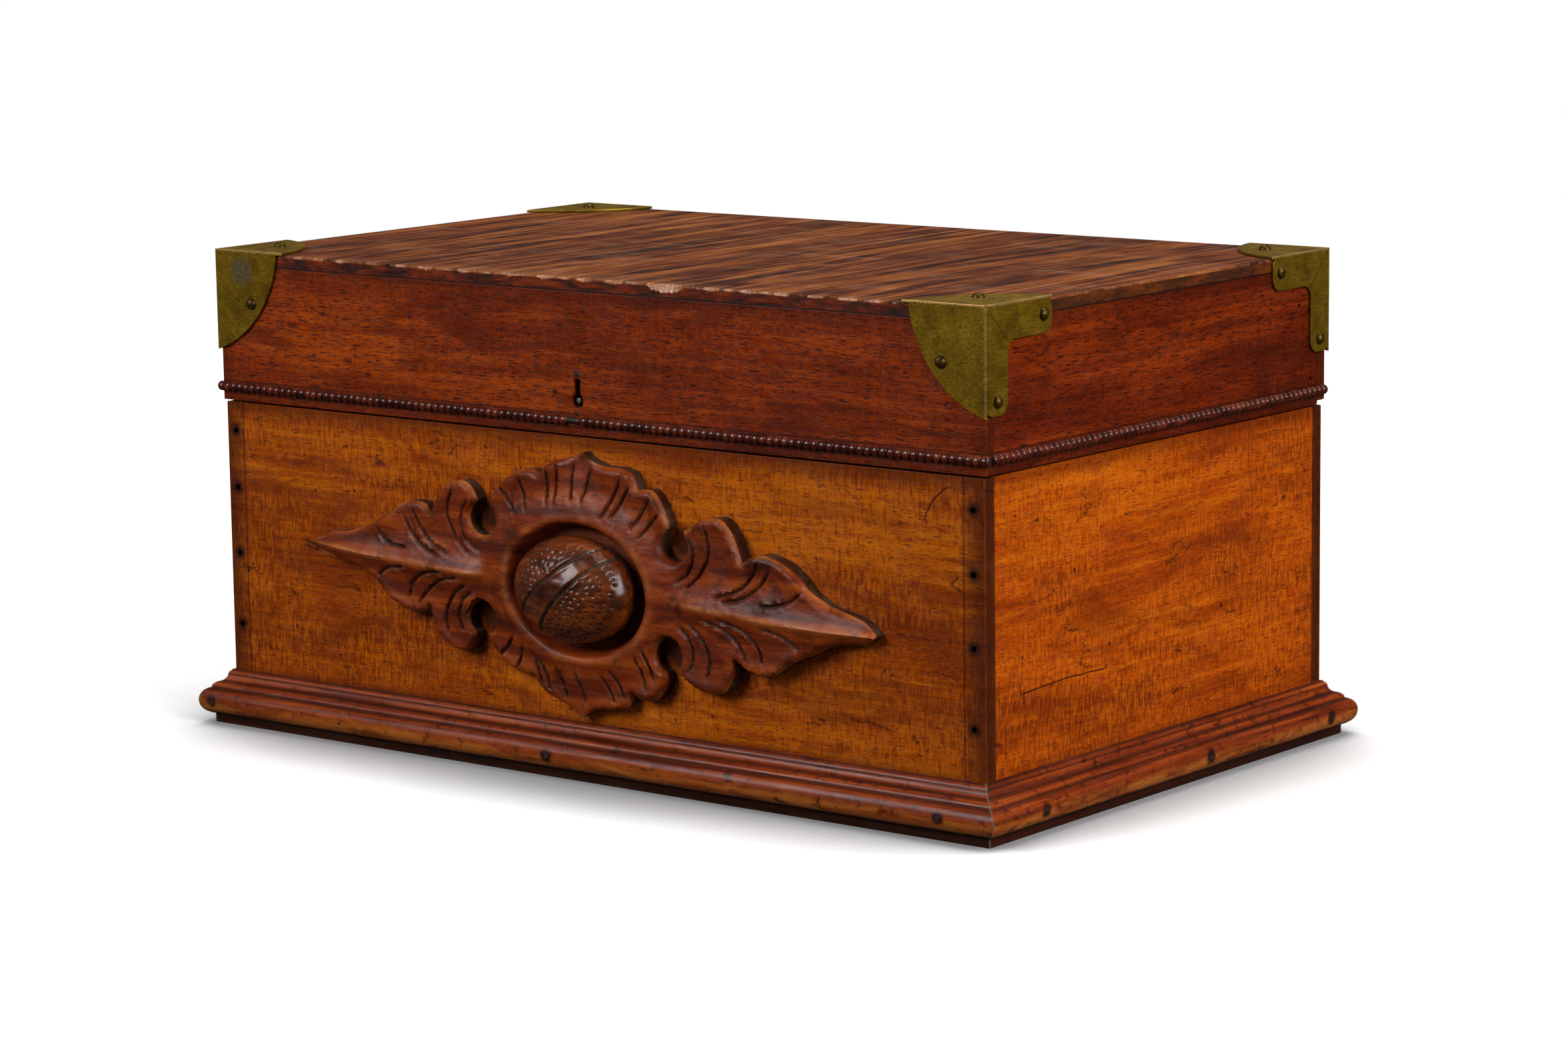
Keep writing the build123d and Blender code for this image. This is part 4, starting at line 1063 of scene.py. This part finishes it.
def build_lid_top(panel_material, veneer_material):
    """The top panel and its veneer, with the arris broken by real chips that run into the panel."""
    panel, veneer = chipped_sections()
    for node, rows, inset, material, slot in (
        ("lid_top_panel", panel, PANEL_INSET, panel_material, "lid_wood"),
        ("lid_top_veneer", veneer, VENEER_INSET, veneer_material, "top_veneer"),
    ):
        vertices, chip = [], []
        width = len(rows[0])
        limit_x, limit_y = panel_high.x - inset, panel_high.y - inset
        for row in rows:
            for (x, y, z), broken in row:
                vertices.append((x, y, z))
                chip.append(broken)
            vertices[-1] = (min(max(x, -limit_x), limit_x), min(max(y, -limit_y), limit_y), z)
        faces = grid_faces(len(rows), width, wrap_rows=True, wrap_width=False)
        faces.append(tuple(range(width - 1, len(vertices), width)))
        faces.append(tuple(range(len(vertices) - width, -1, -width)))
        mesh_object(node + "_chipped", vertices, faces, material, "lid", (node,), {"chip": chip}, 50)


# ---------------------------------------------------------------- moulding

MOULDING_STEP = 2.5


def moulding_profile():
    """The moulding's section as (out, up) points: bead, cove, small bead, torus and fascia."""
    bead = [(0.0, 0.0), (0.9, 0.25), (1.5, 0.9), (2.15, 1.5), (2.4, 2.2)]  # (out, down from the top)
    cove = [(2.4, 2.2), (2.6, 3.2), (3.1, 4.1), (3.8, 4.8), (4.5, 5.2)]
    ovolo = [(4.5, 5.2), (5.9, 5.6), (6.9, 6.3), (7.5, 7.1), (7.7, 8.1)]
    torus = [(8.5, 8.1), (10.3, 9.3), (11.4, 11.2), (MOULDING_PROUD, TORUS_DROP), (11.2, 15.9), (9.8, 17.9),
             (7.7, 19.2)]
    curves = [smooth_line(part, 0.5) for part in (bead, cove, ovolo)] + [[(7.72, 8.1)],
                                                                         smooth_line(torus, 0.6)]
    foot = [(6.6, MOULDING_TOP - 19.2), (6.6, 2.0), (6.6, 0.35), (6.3, 0.0), (0.0, 0.0)]
    return [(out, MOULDING_TOP - down) for curve in curves for out, down in curve] + foot


def build_moulding(node, outward, case_half, side_half, material):
    """One mitred length with slightly worn, wavy mouldings. The case's faces are case_half out."""
    way = np.array((-outward[1], outward[0], 0.0))
    out = np.array((*outward, 0.0))
    profile = moulding_profile()
    count = int(2 * side_half / MOULDING_STEP)
    vertices, width = [], len(profile)
    for i in range(count + 1):
        share = 2 * i / count - 1
        for k, (reach, up) in enumerate(profile):
            at = share * (side_half + reach)
            wear = 0.0
            if 0 < k < width - 5:
                wear = 0.16 * rough_at(at, up * 2, outward[0] * 9 + outward[1] * 5, 0.09)
                wear -= 0.22 * max(0.0, rough_at(at, up, 31.0 + outward[0], 0.05)) * (reach > 10)
            dent = 0.5 * max(0.0, rough_at(at, up, 77.0 + outward[1], 0.22) - 0.45)
            dent = dent if reach > 7.0 and k < width - 3 else 0.0
            place = out * (case_half + max(reach + min(wear, 0.0) - dent, 0.0)) + way * at
            vertices.append((place[0], place[1], up))
    faces = tube_faces(count + 1, width)
    mesh_object(node + "_worn", vertices, faces, material, "case", (node,), None, 38)


# ---------------------------------------------------------------- putting the pieces in


def build_keyhole_pins(material):
    """Two small worn pin heads above and below the keyhole, let into the lid's front."""
    vertices, faces = [], []
    spokes = 22
    section = [(1.0, 0.35), (0.97, -0.02), (0.86, -0.16), (0.5, -0.24), (0.0, -0.20)]  # (share, out)
    for x, z, size in ((-0.4, 166.0, 1.7), (-0.9, 150.2, 1.15)):
        first = len(vertices)
        for share, out in section:
            for j in range(spokes):
                angle = math.tau * j / spokes
                reach = share * size * (1 + 0.12 * rough_at(math.cos(angle), math.sin(angle), z, 1.3))
                vertices.append((x + reach * math.cos(angle), lid_low.y + out, z + reach * math.sin(angle)))
        faces += grid_faces(len(section), spokes, first=first)
        faces.append(tuple(range(first, first + spokes)))
    mesh_object("keyhole_pins", vertices, faces, material, "lid", (), None, 50)


def grimed(piece, amount):
    """Gives a piece's vertices the grime that amount(point in mm) says."""
    mesh = piece.data
    values = [amount(v.co / MM) for v in mesh.vertices]
    mesh.attributes.new("grime", "FLOAT", "POINT").data.foreach_set("value", np.asarray(values, np.float32))


build_cartouche(carved_wood("carved_leaves", (rgb(68, 18, 3), rgb(116, 40, 5), rgb(156, 68, 12)), 0.04,
                            (0.36, 0.54)))
build_boss(carved_wood("carved_boss", (rgb(44, 14, 3), rgb(84, 32, 6), rgb(134, 62, 14)), 0.4, (0.24, 0.36)))

BEADING = beading_wood()
build_beading("beading_front", 1, 0, -1, BEADING, overrun=2.1, damage=-1.0)
build_beading("beading_left", 0, 1, -1, BEADING)
build_beading("beading_right", 0, 1, 1, BEADING)
build_lid_top(panel_edge(), figured_top())

FRONT_NAILS = [(x, y, z) for x in (-195, 195) for y in (-HALF_Y, HALF_Y) for z in (43.5, 74.8, 103.3, 128.0)]
HOLES = [run[1] for run in TOP_RUNS + BOTTOM_RUNS if run[0] == "hole"]
# nail stains, and painted shade on the case front at the floors of the carving's four holes
NAIL_STAINS_AND_HOLE_SHADE = [(place, 4.6) for place in FRONT_NAILS] + [(carving_place(u, v, 0), 10.5) for u, v in HOLES]
SIDE_SPECKS = [((HALF_X, 44, 67), 1.3), ((HALF_X, -37, 64), 1.2), ((HALF_X, -61, 97), 1.4)]
CASE_BOX = ((-HALF_X, -HALF_Y, 20.0), (HALF_X, HALF_Y, case_high.z))
CASE_FRONT = wood("case_front_wood", "X", (rgb(104, 34, 0), rgb(158, 66, 1), rgb(200, 104, 6)), 0.62,
                  CASE_BOX, 0.7, NAIL_STAINS_AND_HOLE_SHADE, lines=[("X", HALF_X - 9.5, 0.8)],
                  shade=[("Y", HALF_Y - 1.0, HALF_Y - 1.8, 0.72), ("X", HALF_X - 11, HALF_X - 6, 0.35)],
                  cracks=[((192, -HALF_Y, 117), 20.5, "Z", 121, 137)])
CASE_SIDE = wood("case_side_wood", "Y", (rgb(112, 36, 0), rgb(170, 66, 1), rgb(206, 102, 6)), 0.55,
                 CASE_BOX, 0.6, SIDE_SPECKS, lines=[("Y", HALF_Y - 6.6, 0.7)],
                 cracks=[((HALF_X, -60, -445), 500, "Y", -98, -40)])
BASE_WOOD = wood("case_base_wood", "X", (rgb(96, 46, 18), rgb(134, 72, 30), rgb(160, 96, 48)))

LID_BOX = ((lid_low.x, lid_low.y, lid_low.z), (lid_high.x, -lid_low.y, lid_high.z))
BEAD_LINES = [("Z", bead_high.z + 0.35, 0.8), ("Z", bead_low.z - 0.35, 0.8)]
LID_FRONT = wood("lid_front_wood", "X", (rgb(78, 18, 1), rgb(134, 44, 2), rgb(172, 72, 6)), 0.18, LID_BOX,
                 0.45, [((-12.2, lid_low.y, 158), 1.8)], 0.35, 0.9, (0.52, 0.62),
                 [("Y", -lid_low.y - 1.0, -lid_low.y - 1.8, 0.6)], BEAD_LINES)
LID_SIDE = wood("lid_side_wood", "Y", (rgb(60, 12, 1), rgb(102, 28, 1), rgb(134, 48, 4)), 0.18, LID_BOX,
                0.45, (), 0.35, 0.9, (0.53, 0.63), (), BEAD_LINES)

for node, material in (("case_front", CASE_FRONT), ("case_back", CASE_FRONT), ("case_left_side", CASE_SIDE),
                       ("case_right_side", CASE_SIDE), ("base_board", BASE_WOOD)):
    softened(node, 0.5, material)
for node, material in (("lid_front", LID_FRONT), ("lid_back", LID_FRONT), ("lid_left_side", LID_SIDE),
                       ("lid_right_side", LID_SIDE)):
    softened(node, 0.5, material)

for node, outward, case_half, side_half in (
    ("base_moulding_front", (0, -1), HALF_Y, HALF_X), ("base_moulding_back", (0, 1), HALF_Y, HALF_X),
    ("base_moulding_left", (-1, 0), HALF_X, HALF_Y), ("base_moulding_right", (1, 0), HALF_X, HALF_Y),
):
    torus_out, torus_z = case_half + MOULDING_PROUD, MOULDING_TOP - TORUS_DROP
    if outward[0] == 0:
        axis, spots = "X", [((x, outward[1] * torus_out, torus_z), 4.2) for x in (-204, -12, 185.5)]
    else:
        axis, spots = "Y", [((outward[0] * torus_out, y, torus_z), 4.2) for y in (-97, 19, 112)]
    build_moulding(node, outward, case_half, side_half, moulding_wood(node + "_wood", axis, spots))

IRON = iron("iron_nails")
build_keyhole_pins(IRON)
for node in ("case_front_nails", "case_back_nails", "moulding_nails", "lid_side_nails"):
    softened(node, 0.15, IRON)

BRASS_BOX = ((-OUT_X, -OUT_Y, 100.0), (OUT_X, OUT_Y, OUT_Z))
GREY_STAIN = rgb(96, 98, 84)
for corner in ("front_left", "front_right", "back_left", "back_right"):
    stains = [((-OUT_X + 16, -OUT_Y, OUT_Z - 9), 9.0, GREY_STAIN)] if corner == "front_left" else []
    material = brass("corner_brass_" + corner, BRASS_BOX, stains, 0.6)
    plate = softened("lid_corner_" + corner, 0.45, material, 3)
    grimed(plate, lambda p: 0.8 if max(abs(p.x) - OUT_X, abs(p.y) - OUT_Y, p.z - OUT_Z) < -0.9 else 0.0)

SCREW_BRASS = brass("screw_brass", None, (), 0.5, 0.9)
screws = softened("lid_corner_screws", 0.12, SCREW_BRASS)
grimed(screws, lambda p: 0.9 if max(abs(p.x) - OUT_X, abs(p.y) - OUT_Y, p.z - OUT_Z) < 0.6 else 0.72)

HINGE_BRASS = brass("hinge_brass", None, (), 0.4, 0.8)
for node in NODES:
    if node.startswith(("hinge", "strike")):
        grimed(softened(node, 0.12, HINGE_BRASS), lambda p: 0.1)
LOCK_BRASS = brass("lock_brass", None, (), 0.4, 0.7)
for node in ("lock_case", "lock_cap", "lock_screws"):
    grimed(softened(node, 0.15, LOCK_BRASS), lambda p: 0.15)
grimed(softened("lock_bolt", 0.2, brass("bolt_brass", None, (), 0.4, 0.4)), lambda p: 0.0)
LOCK_STEEL = steel("lock_steel")
for node in ("lock_drill_pin", "lock_backspring"):
    softened(node, 0.08, LOCK_STEEL)


# ---------------------------------------------------------------- stage


def floor_paper():
    """Pale paper that glows a little, with a painted contact shadow: an ambient occlusion node darkens its
    colour and glow close to what stands on it. Its glow is also weaker near the middle, and far away it is
    white.
    """
    s = Shader("floor_paper", Roughness=0.9, Specular_IOR_Level=0.1, Emission_Color=(1, 1, 1, 1))
    # painted contact shadow: the ambient occlusion darkens the paper's colour and glow near what stands on
    # it
    clear_of_contact_shadow = s.remap(s.add("AmbientOcclusion", {"Distance": 0.09}, "AO", samples=12), 0.45, 0.97)
    colour = s.mix(clear_of_contact_shadow, (0.30, 0.30, 0.30, 1), (0.84, 0.84, 0.84, 1))
    glow = s.remap(s.distance_to(0, 0, 0), 320, 1000, 0.30, 0.8) * s.remap(clear_of_contact_shadow, 0.0, 1.0, 0.2, 1.0)
    s.feed(s.bsdf, {"Base Color": colour, "Emission Strength": glow})
    return s.material


floor_mesh = bpy.data.meshes.new("floor")
floor_mesh.from_pydata([(-1.5, -1.5, 0), (1.5, -1.5, 0), (1.5, 1.5, 0), (-1.5, 1.5, 0)], [], [(0, 1, 2, 3)])
floor_mesh.materials.append(floor_paper())
floor = bpy.data.objects.new("floor", floor_mesh)
bpy.context.scene.collection.objects.link(floor)
floor.visible_diffuse = floor.visible_glossy = False


def softbox(name, place, aim, size, power):
    light = bpy.data.lights.new(name, "AREA")
    light.shape, light.size, light.size_y = "RECTANGLE", *size
    light.energy = power
    lamp = bpy.data.objects.new(name, light)
    lamp.location = place
    lamp.rotation_euler = (Vector(aim) - Vector(place)).to_track_quat("-Z", "Y").to_euler()
    bpy.context.scene.collection.objects.link(lamp)


softbox("right_softbox", (1.9, -0.2, 1.0), (0.1, 0, 0.1), (1.3, 1.2), 46)
softbox("front_left_softbox", (-0.9, -1.9, 1.3), (0, -0.1, 0.1), (1.3, 1.1), 40)
softbox("overhead_softbox", (0.0, 0.5, 2.0), (0, 0, 0.1), (1.8, 1.2), 26)

SEEN, CAST = 1.0, 0.05  # how bright the world looks, and how much light it casts
world = bpy.data.worlds.new("studio")
bpy.context.scene.world = world
world.use_nodes = True
tree = world.node_tree
tree.nodes.clear()
paths = tree.nodes.new("ShaderNodeLightPath")
either = tree.nodes.new("ShaderNodeMixShader")
result = tree.nodes.new("ShaderNodeOutputWorld")
tree.links.new(paths.outputs["Is Camera Ray"], either.inputs[0])
for socket, strength in ((1, CAST), (2, SEEN)):
    background = tree.nodes.new("ShaderNodeBackground")
    background.inputs["Color"].default_value = (1, 1, 1, 1)
    background.inputs["Strength"].default_value = strength
    tree.links.new(background.outputs[0], either.inputs[socket])
tree.links.new(either.outputs[0], result.inputs["Surface"])

# ---------------------------------------------------------------- camera

AZIMUTH, ELEVATION, ROLL = math.radians(38.25), math.radians(9.35), math.radians(-0.774)
back = Vector((math.sin(AZIMUTH) * math.cos(ELEVATION), -math.cos(AZIMUTH) * math.cos(ELEVATION),
               math.sin(ELEVATION)))
level_right = (-back).cross(Vector((0, 0, 1))).normalized()
level_up = level_right.cross(-back)
right = level_right * math.cos(ROLL) + level_up * math.sin(ROLL)
up = level_up * math.cos(ROLL) - level_right * math.sin(ROLL)
lens = bpy.data.cameras.new("camera")
lens.lens, lens.sensor_width = 102.93, 36.0
camera = bpy.data.objects.new("camera", lens)
turn = Matrix((right, up, back)).transposed().to_4x4()
camera.matrix_world = Matrix.Translation((1.17139, -1.47472, 0.39893)) @ turn
bpy.context.scene.collection.objects.link(camera)
bpy.context.scene.camera = camera
bpy.context.scene.view_settings.view_transform = "Standard"

bpy.context.view_layer.update()
